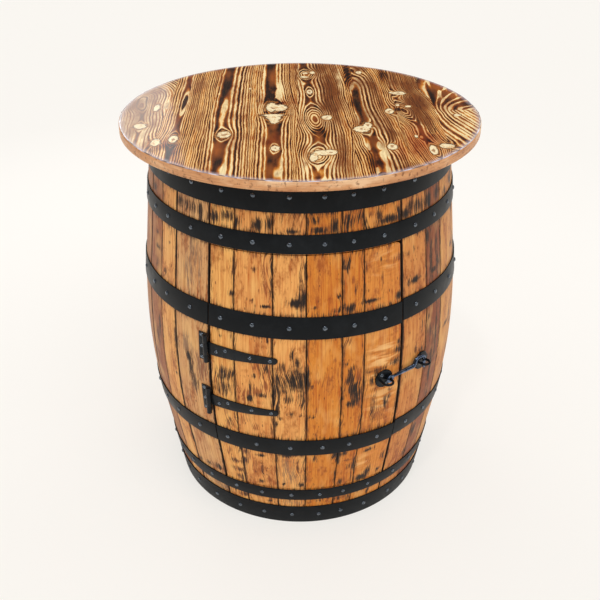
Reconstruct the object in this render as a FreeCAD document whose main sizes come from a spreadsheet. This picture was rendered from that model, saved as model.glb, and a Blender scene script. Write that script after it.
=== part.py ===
import FreeCAD, Part
import math
import os

from FreeCAD import Placement, Rotation, Vector

# A whisky-barrel bar cabinet: a standing barrel with a hinged door cut from its own staves,
# a cabin hook that holds the door shut, and a round board top that overhangs the barrel.
#
# Frame: millimetres, +Z up, the origin on the barrel's axis at floor level, the door facing -Y.
# An azimuth is counted in degrees about +Z from -Y, so it grows towards +X.
# A "side offset" is a distance out from the staves' outer face, measured square to it.

SIZES = {
    # The barrel's outer side: a straight cone, two arcs that meet at the bilge, a straight cone.
    "barrel_height": 880.0,
    "bilge_height": 435.0,
    "bilge_radius": 361.0,
    "base_radius": 304.4,
    "crown_radius": 322.8,
    "lower_bend": 1228.0,
    "upper_bend": 1508.0,
    "stave_thickness": 27.0,
    "stave_joint": 0.3,
    # The two heads, let into grooves near the stave ends.
    "head_thickness": 18.0,
    "head_clearance": 0.3,
    "croze_depth": 5.0,
    "top_head_recess": 24.0,
    "bottom_head_recess": 42.0,
    # Hoops: width, and the distance that sets each one's height.
    "hoop_thickness": 2.0,
    "hoop_gap": 0.3,
    "top_chime_drop": 4.0,
    "top_chime_width": 63.0,
    "top_quarter_drop": 110.0,
    "top_quarter_width": 39.0,
    "upper_bilge_rise": 115.0,
    "upper_bilge_width": 50.0,
    "lower_bilge_drop": 148.0,
    "lower_bilge_width": 46.0,
    "bottom_quarter_base": 83.0,
    "bottom_quarter_width": 34.5,
    "bottom_chime_base": 1.0,
    "bottom_chime_width": 56.0,
    # The door: sawn out of the barrel between the two quarter hoops.
    "door_hinge_azimuth": -31.8,
    "door_latch_azimuth": 36.5,
    "door_kerf": 3.0,
    "door_sill": 0.5,
    "door_lintel": 2.5,
    "door_corner": 12.0,
    "door_hoop_tilt": 0.8,
    # Curved ribs that hold the door's staves together, and the strip it closes against.
    "rib_depth": 25.0,
    "rib_width": 44.0,
    "rib_setback": 75.0,
    "rib_end_margin": 5.5,
    "stop_depth": 18.0,
    "stop_overlap": 3.0,
    "stop_landing": 4.5,
    "stop_setback": 32.0,
    # The round top and what holds it.
    "table_radius": 385.0,
    "table_thickness": 20.0,
    "table_round": 4.0,
    "table_underside_round": 1.5,
    "board_joint": 0.2,
    "cleat_length": 460.0,
    "cleat_width": 45.0,
    "cleat_spread": 115.0,
    "table_screw_spread": 170.0,
    "table_screw_bite": 12.0,
    # The shelf inside.
    "shelf_top": 440.0,
    "shelf_thickness": 18.0,
    "shelf_margin": 4.0,
    "shelf_front": 235.0,
    "shelf_cleat_height": 30.0,
    "shelf_cleat_depth": 25.0,
    "shelf_cleat_sweep": 40.0,
    "touch_gap": 0.2,
    # Nails and screws.
    "nail_head_radius": 5.2,
    "nail_head_height": 3.0,
    "nail_shank_radius": 1.7,
    "nail_length": 17.0,
    "screw_head_radius": 4.2,
    "screw_head_height": 2.2,
    "screw_shank_radius": 2.0,
    "screw_length": 18.0,
    "fastener_clearance": 0.25,
    "fastener_seat": 0.05,
    # Tee hinges.
    "fitting_gap": 0.3,
    "upper_hinge_rise": 60.0,
    "lower_hinge_drop": 74.0,
    "hinge_setback": 4.0,
    "knuckle_radius": 5.5,
    "hinge_pin_radius": 2.5,
    "hinge_pin_clearance": 0.05,
    "hinge_pin_proud": 1.0,
    "leaf_thickness": 2.5,
    "leaf_height": 66.0,
    "leaf_width": 21.0,
    "leaf_hole_setback": 13.5,
    "leaf_hole_spread": 27.0,
    "strap_length": 158.0,
    "strap_root": 14.5,
    "strap_knee": 12.5,
    "strap_knee_reach": 60.0,
    "strap_tip": 7.2,
    "knuckle_gap": 0.4,
    # Cabin hook: a plate with a staple on the door, another on the frame, and the hook.
    "hook_azimuth": 29.3,
    "hook_height": 423.5,
    "catch_azimuth": 46.6,
    "catch_height": 425.0,
    "rose_radius": 21.5,
    "rose_thickness": 3.0,
    "rose_bevel": 1.0,
    "rose_screw_x": 6.6,
    "rose_screw_y": 11.0,
    "staple_rod": 2.75,
    "hook_staple_half": 11.0,
    "hook_staple_reach": 28.0,
    "catch_staple_half": 10.0,
    "catch_staple_reach": 23.0,
    "hook_rod": 3.25,
    "eye_radius": 6.7,
    "eye_rod": 3.0,
    "eye_stand": 9.5,
    "hook_shaft_lift": 3.5,
    "hook_neck_start": 31.0,
    "hook_neck_end": 23.0,
    "hook_arch_lift": 18.5,
    "hook_tip_drop": 11.0,
    "hook_bend": 7.0,
}

# Stave widths as shares of the arc they fill, each list counted towards +X from its first seam.
DOOR_STAVES = [9.5, 13.3, 11.1, 11.9, 7.7, 14.8]
FRAME_STAVES = [12.5, 10.0, 15.0, 11.4, 13.6, 10.5, 15.1, 12.3, 13.8, 11.1, 14.0, 12.9,
                10.8, 14.0, 13.2, 11.7, 13.4, 12.2, 14.1, 14.1, 10.5, 9.5, 16.0]

# Seams between boards, as distances from the centre line.
TABLE_SEAMS = [-288.0, -190.0, -92.0, -6.0, 106.0, 208.0, 292.0]
HEAD_SEAMS = [-205.0, -102.0, 4.0, 98.0, 196.0]
SHELF_SEAMS = [-170.0, -20.0, 140.0]

# Strap screws: distance from the hinge pin, and height from the strap's centre line.
STRAP_SCREWS = [(23.0, -3.0), (45.0, 5.0), (100.0, 1.0), (143.0, 0.0)]

doc = FreeCAD.newDocument("BarrelBarCabinet")
sheet = doc.addObject("Spreadsheet::Sheet", "Sizes")
for row, (alias, value) in enumerate(SIZES.items(), start=1):
    sheet.set(f"A{row}", alias.replace("_", " "))
    sheet.set(f"B{row}", str(value))
    sheet.setAlias(f"B{row}", alias)
doc.recompute()

nodes = []


def size(alias):
    """One driving dimension, read from the sheet."""
    return float(sheet.get(alias))


def add(kind, label):
    """A new document object with this label."""
    item = doc.addObject(kind, label)
    item.Label = label
    return item


def bind(item, bindings):
    """Tie properties of an object to formulas on the sheet's sizes."""
    for prop, formula in bindings.items():
        item.setExpression(prop, formula)
    return item


def keep(item):
    """Register an object as one named piece of the cabinet."""
    nodes.append(item)
    return item


def compound(label, items):
    """Several separate solids under one name."""
    group = add("Part::Compound", label)
    group.Links = items
    return group


def cut(label, base, tool):
    """The base without the tool."""
    result = add("Part::Cut", label)
    result.Base = base
    result.Tool = tool
    return result


def common(label, base, tool):
    """What the base and the tool share."""
    result = add("Part::Common", label)
    result.Base = base
    result.Tool = tool
    return result


def fuse(label, parts):
    """One solid from several that overlap."""
    result = add("Part::MultiFuse", label)
    result.Shapes = parts
    return result


# --- The barrel's side -------------------------------------------------------------------------

def tangent_angle(end_radius, end_height, bend, side):
    """Angle at which the straight cone from an end leaves the bend, seen from its centre."""
    reach = end_radius - (size("bilge_radius") - bend)
    rise = end_height - size("bilge_height")
    return math.atan2(rise, reach) + side * math.acos(bend / math.hypot(reach, rise))


LOWER_ANGLE = tangent_angle(size("base_radius"), 0.0, size("lower_bend"), 1)
UPPER_ANGLE = tangent_angle(size("crown_radius"), size("barrel_height"), size("upper_bend"), -1)


def side_break(bend, angle, offset):
    """The point where a bend meets its cone, as (radius, height)."""
    reach = bend + offset
    centre = size("bilge_radius") - bend
    return centre + reach * math.cos(angle), size("bilge_height") + reach * math.sin(angle)


def side_breaks(offset):
    """Heights where the side changes from cone to bend, and from bend to bend."""
    lower = side_break(size("lower_bend"), LOWER_ANGLE, offset)
    upper = side_break(size("upper_bend"), UPPER_ANGLE, offset)
    return lower[1], size("bilge_height"), upper[1]


def side_radius(height, offset=0.0):
    """Radius of the barrel's side at a height."""
    lower, middle, upper = side_breaks(offset)
    if height <= lower:
        radius, start = side_break(size("lower_bend"), LOWER_ANGLE, offset)
        return radius - (height - start) * math.tan(LOWER_ANGLE)
    if height >= upper:
        radius, start = side_break(size("upper_bend"), UPPER_ANGLE, offset)
        return radius - (height - start) * math.tan(UPPER_ANGLE)
    bend = size("lower_bend") if height < middle else size("upper_bend")
    reach = bend + offset
    return size("bilge_radius") - bend + math.sqrt(reach ** 2 - (height - middle) ** 2)


def side_lean(height):
    """How far the side's outward normal leans up from level, in radians."""
    lower, middle, upper = side_breaks(0.0)
    if height <= lower:
        return LOWER_ANGLE
    if height >= upper:
        return UPPER_ANGLE
    bend = size("lower_bend") if height < middle else size("upper_bend")
    return math.asin((height - middle) / bend)


def side_frame(azimuth, height, offset=0.0):
    """Placement on the side: local Z points out of it, X towards +azimuth, Y up it."""
    radius = side_radius(height, offset)
    angle = math.radians(azimuth)
    lean = side_lean(height)
    out = Vector(math.sin(angle) * math.cos(lean), -math.cos(angle) * math.cos(lean), math.sin(lean))
    across = Vector(math.cos(angle), math.sin(angle), 0.0)
    spot = Vector(radius * math.sin(angle), -radius * math.cos(angle), height)
    return Placement(spot, Rotation(across, out.cross(across), out, "ZXY"))


def arc_degrees(length, radius=None):
    """Azimuth that an arc length covers at the bilge, or at another radius."""
    return math.degrees(length / (radius or size("bilge_radius")))


def point(radius, height):
    """A point of a section sketch."""
    return Vector(radius, height, 0.0)


def side_edges(offset, low, high):
    """Lines and arcs that follow the side at an offset, from low to high."""
    lower, middle, upper = side_breaks(offset)
    stops = [low] + [stop for stop in (lower, middle, upper) if low < stop < high] + [high]
    edges = []
    for start, end in zip(stops, stops[1:]):
        first = point(side_radius(start, offset), start)
        last = point(side_radius(end, offset), end)
        half = (start + end) / 2
        if lower < half < upper:
            edges.append(Part.Arc(first, point(side_radius(half, offset), half), last))
        else:
            edges.append(Part.LineSegment(first, last))
    return edges


def section(label, inner, outer, low, high, grooves=()):
    """Sketch of a band of the barrel's wall, between two offsets and two heights."""
    sketch = add("Sketcher::SketchObject", label)
    sketch.Placement = Placement(Vector(), Rotation(Vector(1, 0, 0), 90))
    edges = side_edges(outer, low, high)
    edges += side_edges(inner, low, grooves[0][0] if grooves else high)
    for index, (bottom, top, depth) in enumerate(grooves):
        after = grooves[index + 1][0] if index + 1 < len(grooves) else high
        floor = side_radius((bottom + top) / 2, inner) + depth
        mouth_low = point(side_radius(bottom, inner), bottom)
        mouth_high = point(side_radius(top, inner), top)
        edges.append(Part.LineSegment(mouth_low, point(floor, bottom)))
        edges.append(Part.LineSegment(point(floor, bottom), point(floor, top)))
        edges.append(Part.LineSegment(point(floor, top), mouth_high))
        edges += side_edges(inner, top, after)
    for level in (low, high):
        ends = [point(side_radius(level, offset), level) for offset in (inner, outer)]
        edges.append(Part.LineSegment(*ends))
    for edge in edges:
        sketch.addGeometry(edge)
    return sketch


def polygon_section(label, corners):
    """Sketch of a straight-sided section through the given corners."""
    sketch = add("Sketcher::SketchObject", label)
    sketch.Placement = Placement(Vector(), Rotation(Vector(1, 0, 0), 90))
    for first, last in zip(corners, corners[1:] + corners[:1]):
        sketch.addGeometry(Part.LineSegment(first, last))
    return sketch


def strip_section(label, inner, outer, low, high):
    """Sketch of a straight-sided band, such as a hoop rolled from flat strip."""
    levels = ((low, inner), (low, outer), (high, outer), (high, inner))
    corners = [point(side_radius(level, offset), level) for level, offset in levels]
    return polygon_section(label, corners)


def sweep(label, source, start, angle):
    """A section turned about the barrel's axis, from a start azimuth through an angle."""
    ring = add("Part::Revolution", label)
    ring.Source = source
    ring.Axis = Vector(0, 0, 1)
    ring.Angle = angle
    ring.Solid = True
    ring.Placement = Placement(Vector(), Rotation(Vector(0, 0, 1), start - 90.0))
    return ring


def box(label, length, width, height, place):
    """A plain block."""
    block = add("Part::Box", label)
    block.Length = length
    block.Width = width
    block.Height = height
    block.Placement = place
    return block


def upright(label, radius, low, high, x=0.0, y=0.0):
    """A vertical cylinder; radius is a formula on the sheet."""
    rod = add("Part::Cylinder", label)
    bind(rod, {"Radius": radius})
    rod.Height = high - low
    rod.Placement = Placement(Vector(x, y, low), Rotation())
    return rod


# --- Heights and azimuths that several pieces share ---------------------------------------------

height = size("barrel_height")
kerf = size("door_kerf")
top_quarter_high = height - size("top_quarter_drop")
top_quarter_low = top_quarter_high - size("top_quarter_width")
bottom_quarter_low = size("bottom_quarter_base")
bottom_quarter_high = bottom_quarter_low + size("bottom_quarter_width")
top_chime_high = height - size("top_chime_drop")
top_chime_low = top_chime_high - size("top_chime_width")
upper_bilge_low = size("bilge_height") + size("upper_bilge_rise")
upper_bilge_high = upper_bilge_low + size("upper_bilge_width")
lower_bilge_high = size("bilge_height") - size("lower_bilge_drop")
lower_bilge_low = lower_bilge_high - size("lower_bilge_width")
bottom_chime_low = size("bottom_chime_base")
bottom_chime_high = bottom_chime_low + size("bottom_chime_width")

sill = bottom_quarter_high + size("door_sill")
lintel = top_quarter_low - size("door_lintel")
door_low = sill + kerf / 2
door_high = lintel - kerf / 2
hinge_side = size("door_hinge_azimuth")
latch_side = size("door_latch_azimuth")
kerf_angle = arc_degrees(kerf)
joint_angle = arc_degrees(size("stave_joint"))
frame_start = latch_side + kerf_angle / 2
frame_sweep = 360.0 - (latch_side - hinge_side) - kerf_angle
wall_inner = -size("stave_thickness")

top_head_high = height - size("top_head_recess")
top_head_low = top_head_high - size("head_thickness")
bottom_head_low = size("bottom_head_recess")
bottom_head_high = bottom_head_low + size("head_thickness")
clearance = size("head_clearance")
bottom_croze = (bottom_head_low - clearance, bottom_head_high + clearance, size("croze_depth"))
top_croze = (top_head_low - clearance, top_head_high + clearance, size("croze_depth"))


def seams(shares, start, end):
    """Azimuths of the seams between staves that fill an arc."""
    step = (end - start) / sum(shares)
    marks = [start]
    for share in shares:
        marks.append(marks[-1] + share * step)
    return marks


def middles(marks):
    """The azimuth halfway between each two seams."""
    return [(first + last) / 2 for first, last in zip(marks, marks[1:])]


door_seams = seams(DOOR_STAVES, hinge_side, latch_side)
frame_seams = seams(FRAME_STAVES, latch_side, hinge_side + 360.0)


def stave_run(prefix, source, marks, end_trim):
    """Staves side by side; the run's two outer edges are trimmed by half a saw cut."""
    staves = []
    for index, (first, last) in enumerate(zip(marks, marks[1:])):
        start_trim = end_trim if index == 0 else joint_angle / 2
        stop_trim = end_trim if index == len(marks) - 2 else joint_angle / 2
        angle = last - first - start_trim - stop_trim
        staves.append(sweep(f"{prefix}_{index + 1:02d}", source, first + start_trim, angle))
    return staves


# --- Staves ------------------------------------------------------------------------------------

full_section = section("full_stave_section", wall_inner, 0.0, 0.0, height, (bottom_croze, top_croze))
door_section = section("door_stave_section", wall_inner, 0.0, door_low, door_high)
lower_section = section("lower_stub_section", wall_inner, 0.0, 0.0, sill - kerf / 2, (bottom_croze,))
upper_section = section("upper_stub_section", wall_inner, 0.0, lintel + kerf / 2, height, (top_croze,))

frame_staves = stave_run("frame_stave", full_section, frame_seams, kerf_angle / 2)
for stave in frame_staves:
    keep(stave)

door_blanks = stave_run("door_blank", door_section, door_seams, kerf_angle / 2)

# The door's upper corner on the latch side is sawn round.
corner = size("door_corner")
corner_frame = side_frame(latch_side - kerf_angle / 2, door_high)
corner_depth = 4 * size("stave_thickness")


def corner_waste():
    """The sliver outside the quarter circle at the door's upper latch corner."""
    block = box("corner_block", corner * 2, corner * 2, corner_depth,
                corner_frame * Placement(Vector(-corner, -corner, -corner_depth / 2), Rotation()))
    round_off = add("Part::Cylinder", "corner_round")
    bind(round_off, {"Radius": "Sizes.door_corner"})
    round_off.Height = corner_depth * 2
    round_off.Placement = corner_frame * Placement(Vector(-corner, -corner, -corner_depth), Rotation())
    return cut("corner_waste", block, round_off)


for index, blank in enumerate(door_blanks):
    label = f"door_stave_{index + 1:02d}"
    if blank is door_blanks[-1]:
        keep(cut(label, blank, corner_waste()))
    else:
        blank.Label = label
        keep(blank)

keep(compound("lower_stub_staves", stave_run("lower_stub", lower_section, door_seams, joint_angle / 2)))
keep(compound("upper_stub_staves", stave_run("upper_stub", upper_section, door_seams, joint_angle / 2)))


# --- Fasteners ---------------------------------------------------------------------------------

def domed_fastener(label, kind, length):
    """A nail or screw along Z: its domed head stands on the plane Z = 0, its shank below."""
    radius = f"Sizes.{kind}_head_radius"
    rise = f"Sizes.{kind}_head_height"
    ball = f"({radius}^2 + {rise}^2) / (2 * {rise})"
    head = add("Part::Sphere", f"{label}_head")
    bind(head, {"Radius": ball,
                "Angle1": f"asin(1 - {rise} / ({ball}))",
                "Placement.Base.z": f"{rise} - {ball}"})
    shank = add("Part::Cylinder", f"{label}_shank")
    bind(shank, {"Radius": f"Sizes.{kind}_shank_radius",
                 "Height": length,
                 "Placement.Base.z": f"-1 * ({length})"})
    return fuse(label, [head, shank])


nail = domed_fastener("nail", "nail", "Sizes.nail_length")
screw = domed_fastener("screw", "screw", "Sizes.screw_length")
table_screw_length = "Sizes.head_thickness + Sizes.top_head_recess + Sizes.table_screw_bite"
table_screw = domed_fastener("table_screw", "screw", table_screw_length)
doc.recompute()


def copies(label, pattern, places):
    """Separate copies of one solid, one at each place."""
    group = add("Part::Feature", label)
    group.Shape = Part.makeCompound([pattern.Shape.transformed(place.toMatrix()) for place in places])
    return group


def drills(label, radius, places):
    """Round cutters through thin steel, along local Z at each place."""
    half = size("hoop_thickness") + size("leaf_thickness") + size("rose_thickness")
    cutter = Part.makeCylinder(radius, 2 * half, Vector(0, 0, -half))
    group = add("Part::Feature", label)
    group.Shape = Part.makeCompound([cutter.transformed(place.toMatrix()) for place in places])
    return group


# --- Hoops -------------------------------------------------------------------------------------

hoop_inner = size("hoop_gap")
hoop_outer = hoop_inner + size("hoop_thickness")
nail_seat = hoop_outer + size("fastener_seat")
nail_hole = size("nail_shank_radius") + size("fastener_clearance")
frame_nails = []
door_nails = []


def nail_places(azimuths, heights):
    """Where nails stand on a hoop."""
    return [side_frame(azimuth, level, nail_seat) for azimuth, level in zip(azimuths, heights)]


def frame_hoop(label, low, high, start, angle, azimuths):
    """A steel hoop on the frame, with a punched hole and a nail at each azimuth."""
    band = strip_section(f"{label}_section", hoop_inner, hoop_outer, low, high)
    ring = sweep(f"{label}_band", band, start, angle)
    places = nail_places(azimuths, [(low + high) / 2] * len(azimuths))
    frame_nails.extend(places)
    return keep(cut(label, ring, drills(f"{label}_holes", nail_hole, places)))


def door_hoop(label, low, high):
    """The stretch of a hoop that crosses the door: it sags a little towards the latch side."""
    slope = math.tan(math.radians(size("door_hoop_tilt")))
    start = hinge_side + kerf_angle / 2
    angle = latch_side - hinge_side - kerf_angle
    hinge_x = side_radius((low + high) / 2) * math.sin(math.radians(hinge_side))
    sag = slope * 2 * size("bilge_radius")
    band = section(f"{label}_section", hoop_inner, hoop_outer, low - sag, high + sag)
    ring = sweep(f"{label}_band", band, start, angle)
    reach = 2 * size("bilge_radius")
    tilt = Placement(Vector(hinge_x, 0, low), Rotation(Vector(0, 1, 0), size("door_hoop_tilt")))
    slab = box(f"{label}_slab", 2 * reach, reach, high - low,
               tilt * Placement(Vector(-reach, -reach, 0), Rotation()))
    azimuths = middles(door_seams)
    levels = []
    for azimuth in azimuths:
        x = size("bilge_radius") * math.sin(math.radians(azimuth))
        levels.append((low + high) / 2 - slope * (x - hinge_x))
    places = nail_places(azimuths, levels)
    door_nails.extend(places)
    strip = common(f"{label}_strip", ring, slab)
    return keep(cut(label, strip, drills(f"{label}_holes", nail_hole, places)))


frame_middles = middles(frame_seams)
all_middles = middles(door_seams) + frame_middles
frame_hoop("top_chime_hoop", top_chime_low, top_chime_high, 0.0, 360.0, all_middles)
frame_hoop("top_quarter_hoop", top_quarter_low, top_quarter_high, 0.0, 360.0, all_middles)
frame_hoop("upper_bilge_hoop", upper_bilge_low, upper_bilge_high, frame_start, frame_sweep, frame_middles)
frame_hoop("lower_bilge_hoop", lower_bilge_low, lower_bilge_high, frame_start, frame_sweep, frame_middles)
frame_hoop("bottom_quarter_hoop", bottom_quarter_low, bottom_quarter_high, 0.0, 360.0, all_middles)
frame_hoop("bottom_chime_hoop", bottom_chime_low, bottom_chime_high, 0.0, 360.0, all_middles)
door_hoop("door_upper_bilge_hoop", upper_bilge_low, upper_bilge_high)
door_hoop("door_lower_bilge_hoop", lower_bilge_low, lower_bilge_high)
keep(copies("frame_hoop_nails", nail, frame_nails))
keep(copies("door_hoop_nails", nail, door_nails))


# --- Round panels of boards --------------------------------------------------------------------

def boards(label, panel, radius, low, high, seam_marks):
    """A round panel sawn into its boards, which run front to back."""
    gap = size("board_joint") / 2
    edges = [-radius - gap] + list(seam_marks) + [radius + gap]
    pieces = []
    for index, (left, right) in enumerate(zip(edges, edges[1:])):
        place = Placement(Vector(left + gap, -radius - 1, low - 1), Rotation())
        width = right - left - 2 * gap
        blank = box(f"{label}_blank_{index + 1}", width, 2 * radius + 2, high - low + 2, place)
        pieces.append(common(f"{label}_board_{index + 1}", panel, blank))
    return compound(label, pieces)


def eased_disc(label, radius, low, high, under, over):
    """A disc whose rim is eased with a plane: a few flat strokes round off each edge."""
    strokes = 3
    turns = [math.pi / 2 * step / strokes for step in range(strokes + 1)]
    corners = [point(0, low)]
    for turn in turns:
        corners.append(point(radius - under + under * math.sin(turn), low + under - under * math.cos(turn)))
    for turn in turns:
        corners.append(point(radius - over + over * math.cos(turn), high - over + over * math.sin(turn)))
    corners.append(point(0, high))
    return sweep(label, polygon_section(f"{label}_section", corners), 0, 360)


# Screws hold the top from below: through the head and the cleats, into the boards.
table_low = height
table_high = height + size("table_thickness")
screw_xs = [-size("table_screw_spread"), 0.0, size("table_screw_spread")]
screw_ys = [-size("cleat_spread"), size("cleat_spread")]
table_screw_places = [
    Placement(Vector(x, y, top_head_low - size("fastener_seat")), Rotation(Vector(1, 0, 0), 180))
    for y in screw_ys for x in screw_xs
]
hole_radius = size("screw_shank_radius") + size("fastener_clearance")
screw_holes = add("Part::Feature", "table_screw_holes")
screw_holes.Shape = Part.makeCompound([
    Part.makeCylinder(hole_radius, table_low - top_head_low + 1, Vector(x, y, top_head_low - 1))
    for y in screw_ys for x in screw_xs
])

table_disc = eased_disc("table_disc", size("table_radius"), table_low, table_high,
                        size("table_underside_round"), size("table_round"))
keep(boards("tabletop_boards", table_disc, size("table_radius"), table_low, table_high, TABLE_SEAMS))

cleats = []
for side, y in zip(("front", "back"), screw_ys):
    cleat = add("Part::Box", f"{side}_cleat_blank")
    bind(cleat, {"Length": "Sizes.cleat_length",
                 "Width": "Sizes.cleat_width",
                 "Height": "Sizes.top_head_recess"})
    cleat.Placement = Placement(Vector(-size("cleat_length") / 2, y - size("cleat_width") / 2, top_head_high),
                                Rotation())
    cleats.append(cut(f"{side}_cleat", cleat, screw_holes))
keep(compound("tabletop_cleats", cleats))
keep(copies("tabletop_screws", table_screw, table_screw_places))


def head_panel(label, low, high, drilled):
    """A barrel head of boards, let into its groove."""
    radius = side_radius((low + high) / 2, wall_inner) + size("croze_depth") - clearance
    disc = add("Part::Cylinder", f"{label}_blank")
    disc.Radius = radius
    disc.Height = high - low
    disc.Placement = Placement(Vector(0, 0, low), Rotation())
    panel = cut(f"{label}_drilled", disc, screw_holes) if drilled else disc
    return keep(boards(label, panel, radius, low, high, HEAD_SEAMS))


head_panel("top_head", top_head_low, top_head_high, True)
head_panel("bottom_head", bottom_head_low, bottom_head_high, False)


# --- Inside: shelf, its cleats, the door's ribs and the strip it closes against ------------------

touch = size("touch_gap")
inside = wall_inner - touch
shelf_high = size("shelf_top")
shelf_low = shelf_high - size("shelf_thickness")
shelf_room = min(side_radius(level, wall_inner) for level in (shelf_low, shelf_high))
shelf_radius = shelf_room - size("shelf_margin")
shelf_disc = add("Part::Cylinder", "shelf_disc")
shelf_disc.Radius = shelf_radius
shelf_disc.Height = shelf_high - shelf_low
shelf_disc.Placement = Placement(Vector(0, 0, shelf_low), Rotation())
shelf_front_cut = box("shelf_front_cut", 2 * shelf_radius, shelf_radius, 2 * size("shelf_thickness"),
                      Placement(Vector(-shelf_radius, -shelf_radius - size("shelf_front"),
                                       shelf_low - size("shelf_thickness") / 2), Rotation()))
shelf_panel = cut("shelf_panel", shelf_disc, shelf_front_cut)
keep(boards("shelf", shelf_panel, shelf_radius, shelf_low, shelf_high, SHELF_SEAMS))

cleat_section = section("shelf_cleat_section", inside - size("shelf_cleat_depth"), inside,
                        shelf_low - size("shelf_cleat_height"), shelf_low)
cleat_arcs = []
for name, azimuth in (("right", 90.0), ("back", 180.0), ("left", 270.0)):
    start = azimuth - size("shelf_cleat_sweep") / 2
    cleat_arcs.append(sweep(f"{name}_shelf_cleat", cleat_section, start, size("shelf_cleat_sweep")))
keep(compound("shelf_cleats", cleat_arcs))

rib_levels = [door_low + size("rib_setback"), door_high - size("rib_setback")]
rib_start = hinge_side + size("rib_end_margin")
rib_sweep = latch_side - hinge_side - 2 * size("rib_end_margin")
ribs = []
for name, level in zip(("lower", "upper"), rib_levels):
    half = size("rib_width") / 2
    rib_inner = inside - size("rib_depth")
    rib_section = section(f"{name}_rib_section", rib_inner, inside, level - half, level + half)
    ribs.append(sweep(f"{name}_door_rib", rib_section, rib_start, rib_sweep))
keep(compound("door_ribs", ribs))

stop_section = section("door_stop_section", inside - size("stop_depth"), inside,
                       door_low + size("stop_setback"), door_high - size("stop_setback"))
keep(sweep("door_stop", stop_section, latch_side - size("stop_overlap"),
           size("stop_overlap") + size("stop_landing")))


# --- Tee hinges --------------------------------------------------------------------------------

fit = size("fitting_gap")
leaf_outer = fit + size("leaf_thickness")
screw_seat = leaf_outer + size("fastener_seat")
screw_hole = size("screw_shank_radius") + size("fastener_clearance")
pin_azimuth = hinge_side - arc_degrees(size("hinge_setback"))
pin_distance = size("bilge_radius") + fit + size("knuckle_radius")
pin_x = pin_distance * math.sin(math.radians(pin_azimuth))
pin_y = -pin_distance * math.cos(math.radians(pin_azimuth))
neck_outer = fit + size("knuckle_radius") + size("leaf_thickness")
neck_angle = arc_degrees(size("knuckle_radius"))
bore_radius = "Sizes.hinge_pin_radius + Sizes.hinge_pin_clearance"
frame_screws = []
door_screws = []


def strap_outline(label, level):
    """The strap's tapered outline with a round tip, raised square to the barrel at its middle."""
    reach = size("strap_length")
    middle = pin_azimuth + arc_degrees(reach / 2)
    tip = size("strap_tip")
    knee = size("strap_knee_reach")
    half = reach / 2
    right = half - tip
    corners = [Vector(-half, size("strap_root"), 0),
               Vector(knee - half, size("strap_knee"), 0),
               Vector(right, tip, 0)]
    lower = [Vector(corner_point.x, -corner_point.y, 0) for corner_point in corners]
    sketch = add("Sketcher::SketchObject", f"{label}_outline")
    base = side_frame(middle, level, 0)
    upright_turn = Rotation(Vector(0, 0, 1), middle) * Rotation(Vector(1, 0, 0), 90)
    sketch.Placement = Placement(base.Base, upright_turn)
    sketch.addGeometry(Part.LineSegment(corners[0], corners[1]))
    sketch.addGeometry(Part.LineSegment(corners[1], corners[2]))
    sketch.addGeometry(Part.Arc(corners[2], Vector(half, 0, 0), lower[2]))
    sketch.addGeometry(Part.LineSegment(lower[2], lower[1]))
    sketch.addGeometry(Part.LineSegment(lower[1], lower[0]))
    sketch.addGeometry(Part.LineSegment(lower[0], corners[0]))
    prism = add("Part::Extrusion", f"{label}_prism")
    prism.Base = sketch
    prism.DirMode = "Custom"
    prism.Dir = base.Rotation.multVec(Vector(0, 0, 1))
    prism.Symmetric = True
    prism.LengthFwd = 4 * size("stave_thickness")
    prism.Solid = True
    return prism


def knuckle(label, level, half_height):
    """A hinge barrel around the pin's axis."""
    return upright(label, "Sizes.knuckle_radius", level - half_height, level + half_height, pin_x, pin_y)


def bore(label, level):
    """The running hole for the pin."""
    reach = size("leaf_height")
    return upright(label, bore_radius, level - reach, level + reach, pin_x, pin_y)


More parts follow.
